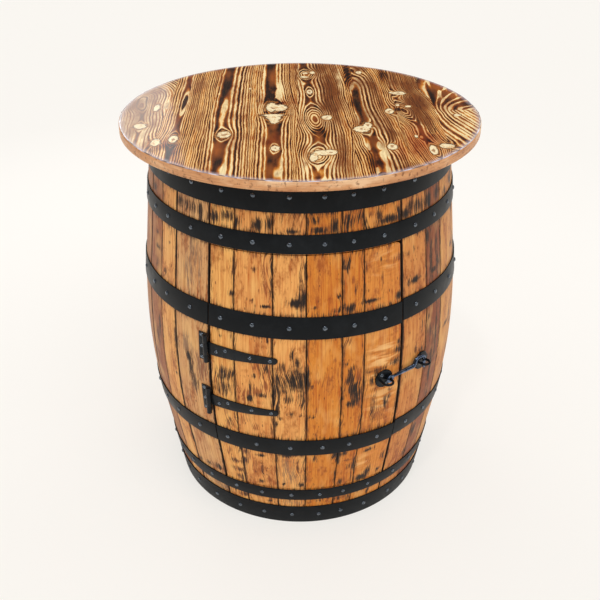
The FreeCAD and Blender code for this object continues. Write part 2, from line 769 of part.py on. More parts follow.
def tee_hinge(prefix, level):
    """One hinge: a leaf on the frame, a strap on the door, and the pin's blank."""
    half = size("leaf_height") / 2
    middle_half = size("strap_root") + size("knuckle_gap")
    leaf_angle = arc_degrees(size("leaf_width"))
    leaf_band = section(f"{prefix}_leaf_section", fit, leaf_outer, level - half, level + half)
    leaf_plate = sweep(f"{prefix}_leaf_plate", leaf_band, pin_azimuth - leaf_angle, leaf_angle)
    neck_band = section(f"{prefix}_leaf_neck_section", fit, neck_outer, level - half, level + half)
    leaf_neck = sweep(f"{prefix}_leaf_neck", neck_band, pin_azimuth - neck_angle / 2, neck_angle / 2)
    leaf_knuckle = knuckle(f"{prefix}_leaf_knuckle", level, half)
    leaf = fuse(f"{prefix}_leaf_blank", [leaf_plate, leaf_neck, leaf_knuckle])
    room = upright(f"{prefix}_strap_room", "Sizes.knuckle_radius + Sizes.knuckle_gap",
                   level - middle_half, level + middle_half, pin_x, pin_y)
    relief = sweep(f"{prefix}_neck_relief",
                   section(f"{prefix}_relief_section", leaf_outer, 2 * neck_outer, level - middle_half,
                           level + middle_half),
                   pin_azimuth - neck_angle, 2 * neck_angle)
    places = []
    for rise in (-1, 0, 1):
        spot = pin_azimuth - arc_degrees(size("leaf_hole_setback"))
        places.append(side_frame(spot, level + rise * size("leaf_hole_spread"), screw_seat))
    frame_screws.extend(places)
    waste = fuse(f"{prefix}_leaf_waste", [room, relief, bore(f"{prefix}_leaf_bore", level)])
    bored = cut(f"{prefix}_leaf_bored", leaf, waste)
    keep(cut(f"{prefix}_hinge_leaf", bored, drills(f"{prefix}_leaf_holes", screw_hole, places)))

    strap_half = size("strap_root")
    strap_angle = arc_degrees(size("strap_length")) + 1.0
    strap_band = section(f"{prefix}_strap_section", fit, leaf_outer, level - strap_half, level + strap_half)
    strap_sheet = sweep(f"{prefix}_strap_sheet", strap_band, pin_azimuth, strap_angle)
    strap_plate = common(f"{prefix}_strap_plate", strap_sheet, strap_outline(f"{prefix}_strap", level))
    strap_neck_band = section(f"{prefix}_strap_neck_section", fit, neck_outer, level - strap_half,
                              level + strap_half)
    strap_neck = sweep(f"{prefix}_strap_neck", strap_neck_band, pin_azimuth, neck_angle / 2)
    strap = fuse(f"{prefix}_strap_blank",
                 [strap_plate, strap_neck, knuckle(f"{prefix}_strap_knuckle", level, strap_half)])
    strap_bored = cut(f"{prefix}_strap_bored", strap, bore(f"{prefix}_strap_bore", level))
    places = []
    for reach, rise in STRAP_SCREWS:
        places.append(side_frame(pin_azimuth + arc_degrees(reach), level + rise, screw_seat))
    door_screws.extend(places)
    keep(cut(f"{prefix}_hinge_strap", strap_bored, drills(f"{prefix}_strap_holes", screw_hole, places)))
    proud = half + size("hinge_pin_proud")
    return upright(f"{prefix}_hinge_pin", "Sizes.hinge_pin_radius",
                   level - proud, level + proud, pin_x, pin_y)


upper_level = size("bilge_height") + size("upper_hinge_rise")
lower_level = size("bilge_height") - size("lower_hinge_drop")
keep(compound("hinge_pins", [tee_hinge("upper", upper_level), tee_hinge("lower", lower_level)]))


# --- Cabin hook --------------------------------------------------------------------------------

def flat_frame(azimuth, level):
    """Placement of a flat fitting against the barrel: local Z level and outwards, Y straight up."""
    turn = Rotation(Vector(0, 0, 1), azimuth) * Rotation(Vector(1, 0, 0), 90)
    radius = side_radius(level) + fit
    angle = math.radians(azimuth)
    return Placement(Vector(radius * math.sin(angle), -radius * math.cos(angle), level), turn)


def swept_rod(label, edges, radius, place):
    """A round rod along a flat path of lines and arcs, drawn in the placement's XY plane."""
    path = add("Sketcher::SketchObject", f"{label}_path")
    for edge in edges:
        path.addGeometry(edge)
    path.Placement = place
    first = edges[0]
    start = first.StartPoint
    heading = first.EndPoint.sub(start)
    ring = add("Part::Circle", f"{label}_ring")
    bind(ring, {"Radius": radius})
    ring.Placement = place * Placement(start, Rotation(Vector(0, 0, 1), heading))
    doc.recompute()
    rod = add("Part::Sweep", f"{label}_rod")
    rod.Sections = [ring]
    rod.Spine = (path, [f"Edge{index + 1}" for index in range(len(edges))])
    rod.Solid = True
    rod.Frenet = False
    return rod


def staple_plate(label, azimuth, level, half, reach):
    """A round plate with two screws and a U-shaped staple that stands level out of it."""
    frame = flat_frame(azimuth, level)
    plate = add("Part::Cylinder", f"{label}_disc")
    bind(plate, {"Radius": "Sizes.rose_radius", "Height": "Sizes.rose_thickness"})
    plate.Placement = frame
    doc.recompute()
    bevelled = add("Part::Chamfer", f"{label}_bevelled")
    bevelled.Base = plate
    front = frame.multVec(Vector(0, 0, size("rose_thickness")))
    amount = size("rose_bevel")
    for index, edge in enumerate(plate.Shape.Edges, start=1):
        if edge.Closed and edge.CenterOfMass.distanceToPoint(front) < 0.001:
            bevelled.Edges = [(index, amount, amount)]
    staple_turn = frame * Placement(Vector(), Rotation(Vector(1, 0, 0), 90))
    straight = reach - half
    root = size("rose_thickness") / 2
    edges = [
        Part.LineSegment(Vector(-half, root, 0), Vector(-half, straight, 0)),
        Part.Arc(Vector(-half, straight, 0), Vector(0, reach, 0), Vector(half, straight, 0)),
        Part.LineSegment(Vector(half, straight, 0), Vector(half, root, 0)),
    ]
    staple = swept_rod(f"{label}_staple", edges, "Sizes.staple_rod", staple_turn)
    blank = fuse(f"{label}_blank", [bevelled, staple])
    places = []
    for turn in (1, -1):
        spot = Vector(-turn * size("rose_screw_x"), turn * size("rose_screw_y"),
                      size("rose_thickness") + size("fastener_seat"))
        places.append(frame * Placement(spot, Rotation()))
    keep(cut(label, blank, drills(f"{label}_holes", screw_hole, places)))
    return places


door_screws.extend(staple_plate("hook_staple_plate", size("hook_azimuth"), size("hook_height"),
                                size("hook_staple_half"), size("hook_staple_reach")))
frame_screws.extend(staple_plate("catch_staple_plate", size("catch_azimuth"), size("catch_height"),
                                 size("catch_staple_half"), size("catch_staple_reach")))


def filleted_path(corners, bend):
    """Lines through the corners with a tangent arc of one radius at each inner corner."""
    edges = []
    last = corners[0]
    for before, here, after in zip(corners, corners[1:], corners[2:]):
        into = before.sub(here).normalize()
        away = after.sub(here).normalize()
        half = into.getAngle(away) / 2
        back = bend / math.tan(half)
        enter = here + into * back
        leave = here + away * back
        middle = here + (into + away).normalize() * (bend / math.sin(half) - bend)
        edges.append(Part.LineSegment(last, enter))
        edges.append(Part.Arc(enter, middle, leave))
        last = leave
    edges.append(Part.LineSegment(last, corners[-1]))
    return edges


# The hook lies in an upright plane that is square to the barrel midway along it. Its eye rides
# on the staple's leg nearest the catch, and its tip drops into the middle of the catch's staple.
hook_frame = flat_frame(size("hook_azimuth"), size("hook_height"))
catch_frame = flat_frame(size("catch_azimuth"), size("catch_height"))
eye_spot = hook_frame.multVec(Vector(size("hook_staple_half"), 0, size("eye_stand")))
catch_spot = catch_frame.multVec(Vector(0, 0, size("eye_stand")))
level_run = Vector(catch_spot.x - eye_spot.x, catch_spot.y - eye_spot.y, 0)
hook_run = level_run.Length
hook_yaw = math.degrees(math.atan2(level_run.y, level_run.x))
hook_place = Placement(eye_spot, Rotation(Vector(0, 0, 1), hook_yaw) * Rotation(Vector(1, 0, 0), 90))

shaft = size("hook_shaft_lift")
arch = size("hook_arch_lift")
shaft_start = math.sqrt(size("eye_radius") ** 2 - shaft ** 2)
hook_corners = [
    Vector(shaft_start, shaft, 0),
    Vector(hook_run - size("hook_neck_start"), shaft, 0),
    Vector(hook_run - size("hook_neck_end"), arch, 0),
    Vector(hook_run, arch, 0),
    Vector(hook_run, -size("hook_tip_drop"), 0),
]
hook_bar = swept_rod("hook_bar", filleted_path(hook_corners, size("hook_bend")), "Sizes.hook_rod", hook_place)
eye = add("Part::Torus", "hook_eye")
bind(eye, {"Radius1": "Sizes.eye_radius", "Radius2": "Sizes.eye_rod"})
eye.Placement = hook_place
tip = add("Part::Sphere", "hook_tip")
bind(tip, {"Radius": "Sizes.hook_rod"})
tip.Placement = Placement(hook_place.multVec(hook_corners[-1]), Rotation())
keep(fuse("hook", [hook_bar, eye, tip]))


# Screws from inside hold each of the door's staves to both ribs.
rib_face = inside - size("rib_depth") - size("fastener_seat")
rib_screw_turn = Placement(Vector(), Rotation(Vector(0, 1, 0), 180))
for level in rib_levels:
    for azimuth in middles(door_seams):
        if rib_start < azimuth < rib_start + rib_sweep:
            door_screws.append(side_frame(azimuth, level, rib_face) * rib_screw_turn)
keep(copies("frame_hardware_screws", screw, frame_screws))
keep(copies("door_hardware_screws", screw, door_screws))

# --- Check and write ---------------------------------------------------------------------------

doc.recompute()
faults = []
for item in doc.Objects:
    if "Invalid" in item.State or "Error" in item.State:
        faults.append(f"{item.Label}: {item.State}")
for item in nodes:
    if item.Shape.isNull() or not item.Shape.isValid() or not item.Shape.Solids:
        faults.append(f"{item.Label}: no valid solid")
if faults:
    raise RuntimeError("; ".join(faults))

os.makedirs("parts", exist_ok=True)
for item in nodes:
    item.Shape.exportStep(os.path.join("parts", f"{item.Label}.step"))
print(f"{len(nodes)} pieces written")
print(f"hinge pin at {pin_x:.4f}, {pin_y:.4f}")
print(f"hook eye at {eye_spot.x:.4f}, {eye_spot.y:.4f}, {eye_spot.z:.4f}")
print(f"hook run {hook_run:.2f}, yaw {hook_yaw:.4f}")
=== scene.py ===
"""A barrel bar cabinet: scorched oak staves, black hoops, a torched pine top, a door and a cabin hook."""
import logging
import math
import random
from dataclasses import dataclass, field
from enum import Enum
from typing import Any, Iterable, Sequence

import bmesh
import bpy
from mathutils import Matrix, Vector, noise


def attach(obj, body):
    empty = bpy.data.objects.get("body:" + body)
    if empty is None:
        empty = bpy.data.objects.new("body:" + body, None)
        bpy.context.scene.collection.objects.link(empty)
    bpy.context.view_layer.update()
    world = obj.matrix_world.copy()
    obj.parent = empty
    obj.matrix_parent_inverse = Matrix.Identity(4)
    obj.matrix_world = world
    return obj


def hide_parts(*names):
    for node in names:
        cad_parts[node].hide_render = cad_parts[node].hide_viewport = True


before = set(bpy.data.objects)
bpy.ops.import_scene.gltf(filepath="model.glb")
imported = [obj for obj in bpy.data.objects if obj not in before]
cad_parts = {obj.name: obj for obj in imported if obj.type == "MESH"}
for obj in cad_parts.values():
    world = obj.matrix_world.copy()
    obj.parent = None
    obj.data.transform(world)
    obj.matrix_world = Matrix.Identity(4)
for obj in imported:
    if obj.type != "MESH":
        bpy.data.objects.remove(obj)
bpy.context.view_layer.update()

MM = 0.001
DEGREE = math.pi / 180.0
LOG = logging.getLogger("barrel_bar_cabinet")

Colour = tuple[float, float, float, float]
Socket = bpy.types.NodeSocket
Seat = tuple[Vector, Vector]


# --- Small tools -------------------------------------------------------------------------------

def colour(code: str) -> Colour:
    """Turn an sRGB hex code into linear colour.

    Args:
        code: Six hex digits, such as "E2A45E".

    Returns:
        Linear red, green, blue and an alpha of 1.
    """
    shares = [int(code[start:start + 2], 16) / 255 for start in (0, 2, 4)]
    linear = [share / 12.92 if share <= 0.04045 else ((share + 0.055) / 1.055) ** 2.4 for share in shares]
    return (linear[0], linear[1], linear[2], 1.0)


def add_node(tree: bpy.types.NodeTree, kind: str, inputs: dict[Any, Any] | None = None, out: Any = 0,
             **settings: Any) -> Socket | None:
    """Add a node with its settings, values and links.

    Args:
        tree: The node tree that takes the node.
        kind: Blender's name for the node type.
        inputs: Values, or sockets of other nodes, by the input's name or index.
        out: Name or index of the output that the caller goes on with.
        **settings: Properties set on the node itself.

    Returns:
        That output socket, or None where the node has no outputs.
    """
    made = tree.nodes.new(kind)
    for name, value in settings.items():
        setattr(made, name, value)
    for key, value in (inputs or {}).items():
        if isinstance(value, bpy.types.NodeSocket):
            tree.links.new(value, made.inputs[key])
        else:
            made.inputs[key].default_value = value
    return made.outputs[out] if len(made.outputs) else None


def show(name: str, data: Any) -> bpy.types.Object:
    """Make an object and link it to the scene.

    Args:
        name: The object's name.
        data: Its mesh, light or camera.

    Returns:
        The object.
    """
    made = bpy.data.objects.new(name, data)
    bpy.context.scene.collection.objects.link(made)
    return made


def store(piece: bpy.types.Object, name: str, kind: str, values: Sequence[float]) -> None:
    """Store values for a mesh's points in one row; kind is Blender's name for their type."""
    layer = piece.data.attributes.new(name, kind, "POINT")
    layer.data.foreach_set({"FLOAT": "value", "FLOAT_COLOR": "color"}.get(kind, "vector"), values)


def tube(rings: int, size: int) -> list[tuple[int, ...]]:
    """Faces of a closed tube of points: quads between its rings, and a cap at each end.

    Args:
        rings: How many rings of points there are.
        size: How many points each ring has.

    Returns:
        Vertex numbers of each face, ring by ring, the caps last.
    """
    faces = [(ring * size + step, ring * size + (step + 1) % size,
              (ring + 1) * size + (step + 1) % size, (ring + 1) * size + step)
             for ring in range(rings - 1) for step in range(size)]
    return faces + [tuple(range(size)), tuple(range((rings - 1) * size, rings * size))]


def bell(across: float, along: float, half_width: float, half_length: float) -> float:
    """A smooth spot: 1 at its middle, about a third at its half sizes, 0 far out."""
    return math.exp(-((across / half_width) ** 2 + (along / half_length) ** 2))


def gather(points: Sequence[Vector], faces: Sequence[Sequence[int]], name: str) -> bpy.types.Object:
    """Make an object of a mesh from points and faces.

    Args:
        points: Vertex positions in metres.
        faces: Vertex numbers of each face.
        name: The object's name.

    Returns:
        The object, linked to the scene.
    """
    mesh = bpy.data.meshes.new(name)
    mesh.from_pydata([tuple(point) for point in points], [], faces)
    return show(name, mesh)


def tidy(piece: bpy.types.Object, weld: float = 0.01 * MM, crease: float = 38.0, turn: bool = True) -> None:
    """Weld doubles, turn faces outward and shade smooth up to a crease angle.

    Args:
        piece: The mesh object.
        weld: Points closer than this become one.
        crease: Edges sharper than this angle, in degrees, stay crisp.
        turn: Whether the faces are turned outward as a whole.
    """
    work = bmesh.new()
    work.from_mesh(piece.data)
    bmesh.ops.remove_doubles(work, verts=work.verts, dist=weld)
    bmesh.ops.dissolve_degenerate(work, edges=work.edges, dist=weld / 10)
    if turn:
        bmesh.ops.recalc_face_normals(work, faces=work.faces)
    work.to_mesh(piece.data)
    work.free()
    piece.data.polygons.foreach_set("use_smooth", [True] * len(piece.data.polygons))
    piece.data.set_sharp_from_angle(angle=crease * DEGREE)
    piece.data.update()


def settle(piece: bpy.types.Object, body: str, nodes: Iterable[str]) -> bpy.types.Object:
    """Hand a finished piece to the frame.

    Args:
        piece: The piece, with its place in its mesh.
        body: The body it moves with.
        nodes: The solids it stands for.

    Returns:
        The same piece.
    """
    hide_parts(*nodes)
    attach(piece, body)
    LOG.info("%s: %d faces, rides on %s", piece.name, len(piece.data.polygons), body)
    return piece


class Nodes:
    """A node tree, with short ways to add the nodes that are used most."""

    def __init__(self, tree: bpy.types.NodeTree) -> None:
        """Work on a tree."""
        self.tree = tree

    def add(self, kind: str, inputs: dict[Any, Any] | None = None, out: Any = 0, **settings: Any) -> Any:
        """Add a node to this tree; see add_node."""
        return add_node(self.tree, kind, inputs, out, **settings)

    def calc(self, operation: str, *values: Any, clamp: bool = False) -> Socket:
        """Calculate with values or sockets; clamp holds the result between 0 and 1."""
        return self.add("ShaderNodeMath", dict(enumerate(values)), operation=operation, use_clamp=clamp)

    def span(self, value: Any, start: Any, end: Any, low: Any, high: Any) -> Socket:
        """Turn start into low and end into high, and hold the value there beyond them."""
        return self.add("ShaderNodeMapRange", {"Value": value, 1: start, 2: end, 3: low, 4: high})

    def blend(self, share: Any, under: Any, over: Any, kind: str = "MIX") -> Socket:
        """Lay a share of one colour over another."""
        return self.add("ShaderNodeMix", {0: share, 6: under, 7: over}, out=2, data_type="RGBA",
                        blend_type=kind)

    def tint(self, body: Any, code: str, value: Any, start: float, end: float, most: float,
             kind: str = "MIX") -> Socket:
        """Lay a colour over the body: nothing where value is start, a share of most where it is end."""
        return self.blend(self.span(value, start, end, 0.0, most), body, colour(code), kind)

    def noise(self, place: Any, scale: float, detail: float, rough: float = 0.5,
              bent: float = 0.0) -> Socket:
        """Cloudy noise about 0.5; rough makes its small parts stronger and bent folds it."""
        return self.add("ShaderNodeTexNoise", {"Vector": place, "Scale": scale, "Detail": detail,
                                               "Roughness": rough, "Distortion": bent})

    def coordinates(self, out: str = "Object") -> Socket:
        """The coordinates of each point of the surface."""
        return self.add("ShaderNodeTexCoord", out=out)

    def split(self, place: Any, out: str = "X") -> Socket:
        """One share of a vector; the others are at the same node."""
        return self.add("ShaderNodeSeparateXYZ", {0: place}, out=out)

    def join(self, **shares: Any) -> Socket:
        """A vector of its shares X, Y and Z, as far as they are given."""
        return self.add("ShaderNodeCombineXYZ", shares)

    def scaled(self, place: Any, scale: Sequence[float]) -> Socket:
        """Coordinates multiplied by a scale."""
        return self.add("ShaderNodeMapping", {"Vector": place, "Scale": scale})

    def attribute(self, name: str, out: str) -> Socket:
        """One output of an attribute of the mesh."""
        return self.add("ShaderNodeAttribute", attribute_name=name, out=out)

    def bump(self, height: Any, strength: float, distance: float) -> Socket:
        """A normal bent by a height."""
        return self.add("ShaderNodeBump", {"Strength": strength, "Distance": distance, "Height": height},
                        out="Normal")


class Recipe(Nodes):
    """The node tree of one finish, around its surface shader."""

    def __init__(self, name: str) -> None:
        """Start a material with a bare surface shader.

        Args:
            name: The finish's name.
        """
        self.material = bpy.data.materials.new(name)
        self.material.use_nodes = True
        super().__init__(self.material.node_tree)
        self.shader = self.tree.nodes["Principled BSDF"]

    def surface(self, **sockets: Any) -> bpy.types.Material:
        """Fill the shader's sockets.

        Args:
            **sockets: Values or sockets by input name, with _ for each space.

        Returns:
            The finished material.
        """
        for name, value in sockets.items():
            socket = self.shader.inputs[name.replace("_", " ")]
            if isinstance(value, bpy.types.NodeSocket):
                self.tree.links.new(value, socket)
            else:
                socket.default_value = value
        return self.material


# --- The barrel's side -------------------------------------------------------------------------

@dataclass(frozen=True)
class BarrelSide:
    """The barrel's outer side: a cone, two arcs that meet at the bilge, and a cone."""

    height: float = 880 * MM
    bilge_height: float = 435 * MM
    bilge_radius: float = 361 * MM
    base_radius: float = 304.4 * MM
    crown_radius: float = 322.8 * MM
    lower_bend: float = 1228 * MM
    upper_bend: float = 1508 * MM

    def cone_lean(self, end_radius: float, end_height: float, bend: float, side: int) -> float:
        """Lean of the cone that runs from an arc to the barrel's end.

        Args:
            end_radius: Radius at that end of the barrel.
            end_height: Height of that end.
            bend: Radius of the arc.
            side: 1 for the lower end, -1 for the upper.

        Returns:
            The angle in radians, negative below the bilge.
        """
        reach = end_radius - (self.bilge_radius - bend)
        rise = end_height - self.bilge_height
        return math.atan2(rise, reach) + side * math.acos(bend / math.hypot(reach, rise))

    def bend_at(self, height: float) -> tuple[float, float]:
        """The bend that holds at a height.

        Args:
            height: Height above the base.

        Returns:
            Radius of the arc, and the lean of its cone in radians.
        """
        if height < self.bilge_height:
            return self.lower_bend, self.cone_lean(self.base_radius, 0.0, self.lower_bend, 1)
        return self.upper_bend, self.cone_lean(self.crown_radius, self.height, self.upper_bend, -1)

    def radius(self, height: float, offset: float = 0.0) -> float:
        """Radius of the side at a height.

        Args:
            height: Height above the base.
            offset: Distance out of the side; negative is into the wood.

        Returns:
            The radius in metres.
        """
        bend, lean = self.bend_at(height)
        centre = self.bilge_radius - bend
        reach = bend + offset
        start = self.bilge_height + reach * math.sin(lean)
        if (height - start) * lean > 0:
            return centre + reach * math.cos(lean) - (height - start) * math.tan(lean)
        return centre + math.sqrt(reach ** 2 - (height - self.bilge_height) ** 2)

    def lean(self, height: float) -> float:
        """How far the outward normal leans up from level.

        Args:
            height: Height above the base.

        Returns:
            The angle in radians.
        """
        bend, limit = self.bend_at(height)
        turn = math.asin(max(-1.0, min(1.0, (height - self.bilge_height) / bend)))
        return min(turn, limit) if limit > 0 else max(turn, limit)

    def spot(self, azimuth: float, height: float, offset: float = 0.0) -> Vector:
        """A point on the side.

        Args:
            azimuth: Degrees from the door side, growing towards +X.
            height: Height above the base.
            offset: Distance out of the side; negative is into the wood.

        Returns:
            The point.
        """
        reach = self.radius(height, offset)
        angle = azimuth * DEGREE
        return Vector((reach * math.sin(angle), -reach * math.cos(angle), height))

    def outward(self, azimuth: float, height: float) -> Vector:
        """The side's outward normal.

        Args:
            azimuth: Degrees from the door side, growing towards +X.
            height: Height above the base.

        Returns:
            A vector of length 1.
        """
        lean = self.lean(height)
        angle = azimuth * DEGREE
        return Vector((math.sin(angle) * math.cos(lean), -math.cos(angle) * math.cos(lean), math.sin(lean)))


SIDE = BarrelSide()


# --- Finishes ----------------------------------------------------------------------------------

@dataclass(frozen=True)
class ScorchedStaveOak:
    """Reclaimed staves, planed, scorched with a torch, brushed and oiled with honey-coloured oil.

    Soft orange-yellow wood with fine lengthwise grain, short dark pores, red-brown knots and sooty
    licks whose edges run out in streaks along the grain; a low satin gloss.
    """

    name: str = "scorched_oiled_oak_stave"
    line_width: float = 1.7 * MM      # growth lines, drawn about twice as coarse as real ones to show
    line_length: float = 70 * MM
    band_width: float = 8 * MM
    band_length: float = 220 * MM
    pore_width: float = 3.6 * MM
    pore_length: float = 11 * MM
    streak_width: float = 2.1 * MM
    streak_length: float = 60 * MM
    lick_width: float = 4.2 * MM
    lick_length: float = 80 * MM
    soot: str = "1B1512"
    singe: str = "5E3A20"
    rust: str = "8A4420"
    ash: str = "82614A"

    def material(self) -> bpy.types.Material:
        """Build the finish; it reads the attributes grain, tone, marks and edge.

        Returns:
            The material.
        """
        mix = Recipe(self.name)
        grain = mix.attribute("grain", "Vector")
        tone = mix.attribute("tone", "Color")
        speckle = tone.node.outputs["Alpha"]
        marks = mix.attribute("marks", "Color")
        figure = marks.node.outputs["Alpha"]
        soot = mix.add("ShaderNodeSeparateColor", {0: marks}, out="Red")
        rust = soot.node.outputs["Green"]
        ash = soot.node.outputs["Blue"]
        edge = mix.attribute("edge", "Fac")

        def along(width: float, length: float, place: Any = grain) -> Socket:
            """Coordinates in which one unit is a width across and a length along the stave."""
            scale = (1 / width, 1 / length, 1 / width)
            return mix.scaled(place, scale)

        lines = mix.noise(along(self.line_width, self.line_length), 1.0, 3.0, 0.6)
        bands = mix.noise(along(self.band_width, self.band_length), 1.0, 3.0, 0.55)
        clouds = mix.noise(along(40 * MM, 90 * MM), 1.0, 3.0, 0.6)
        # Growth lines: thin darker bands of the stave's own colour.
        line_shade = mix.span(lines, 0.46, 0.7, 0.0, 0.7)
        band_shade = mix.span(bands, 0.46, 0.72, 0.0, 0.45)
        shade = mix.calc("ADD", line_shade, band_shade, clamp=True)
        deep = mix.blend(1.0, tone, colour("C9863F"), "MULTIPLY")
        body = mix.blend(shade, tone, deep)
        body = mix.tint(body, "F6C678", clouds, 0.52, 0.74, 0.4)
        body = mix.tint(body, "B9713A", clouds, 0.46, 0.3, 0.5)
        torn = mix.noise(along(7 * MM, 18 * MM), 1.0, 5.0, 0.65)
        # The flame wandered from side to side, so its streaks lean a little here and there.
        sway = mix.noise(along(90 * MM, 70 * MM), 1.0, 1.0)
        sway = mix.calc("MULTIPLY_ADD", sway, 36 * MM, -18 * MM)
        sway = mix.join(X=sway)
        leaning = mix.add("ShaderNodeVectorMath", {0: grain, 1: sway}, operation="ADD")
        # Brown smudges the brush left.
        smudge = mix.calc("SUBTRACT", torn, clouds)
        smudge = mix.span(smudge, 0.05, 0.26, 0.0, 0.7)
        body = mix.blend(smudge, body, mix.blend(1.0, body, colour("B98443"), "MULTIPLY"))
        # Pores and specks: short dashes along the grain, thicker where the wood is speckled.
        cells = mix.add("ShaderNodeTexVoronoi", {"Vector": along(self.pore_width, self.pore_length),
                                                 "Scale": 1.0, "Randomness": 1.0}, out="Distance")
        pick = mix.add("ShaderNodeSeparateColor", {0: cells.node.outputs["Color"]}, out="Red")
        size = pick.node.outputs["Green"]
        chosen = mix.calc("LESS_THAN", pick, speckle)
        reach = mix.span(size, 0.2, 1.0, 0.1, 0.44)
        near = mix.calc("SUBTRACT", reach, cells)
        near = mix.span(near, 0.0, 0.14, 0.0, 0.85)
        crowd = mix.span(clouds, 0.44, 0.6, 1.0, 0.15)
        near = mix.calc("MULTIPLY", near, crowd)
        speck = mix.calc("MULTIPLY", near, chosen)
        body = mix.blend(speck, body, colour("5E2F16"))
        # Ripples across the widest door stave, where the grain curls.
        curl = mix.noise(along(60 * MM, 13 * MM), 1.0, 2.0, bent=0.4)
        curl_light = mix.span(curl, 0.5, 0.62, 0.0, 0.75)
        curl_light = mix.calc("MULTIPLY", curl_light, figure)
        body = mix.blend(curl_light, body, colour("FBD08C"))
        curl_dark = mix.span(curl, 0.48, 0.38, 0.0, 0.85)
        curl_dark = mix.calc("MULTIPLY", curl_dark, figure)
        body = mix.blend(curl_dark, body, colour("95521F"))
        # Each stain spreads where its own value and the streaks together pass a threshold.
        streaks = mix.noise(along(self.streak_width, self.streak_length, leaning), 1.0, 3.0, 0.6)
        licks = mix.noise(along(self.lick_width, self.lick_length, leaning), 1.0, 3.0, 0.6)
        fringe = mix.calc("MULTIPLY_ADD", streaks, 3.0, -1.5)
        fringe = mix.calc("MULTIPLY_ADD", licks, 0.8, fringe)
        fringe = mix.calc("MULTIPLY_ADD", torn, 1.3, fringe)
        fringe = mix.calc("SUBTRACT", fringe, 0.96)
        # Along the edges the seams singe brown and black; where edges are rounded wider beside the door's
        # sawn gaps the black spreads further, as painted shade of the gaps. Along the hoops the soot is
        # partly painted shade.
        for value, code, low, high, most in ((ash, self.ash, 0.25, 0.8, 0.85),
                                             (rust, self.rust, 0.35, 0.8, 0.85),
                                             (edge, self.singe, 0.55, 1.15, 0.85),
                                             (edge, self.soot, 1.15, 1.6, 0.95),
                                             (soot, self.singe, 0.14, 0.6, 0.85),
                                             (soot, self.soot, 0.42, 0.92, 0.96)):
            level = mix.calc("ADD", value, fringe)
            inside = mix.calc("MULTIPLY", value, 5.0, clamp=True)
            cover = mix.span(level, low, high, 0.0, most)
            cover = mix.calc("MULTIPLY", cover, inside)
            body = mix.blend(cover, body, colour(code))
        rough = mix.span(lines, 0.3, 0.7, 0.42, 0.56)
        bump = mix.bump(lines, 0.35, 0.5 * MM)
        return mix.surface(Base_Color=body, Roughness=rough, Normal=bump, IOR=1.46, Specular_IOR_Level=0.3)


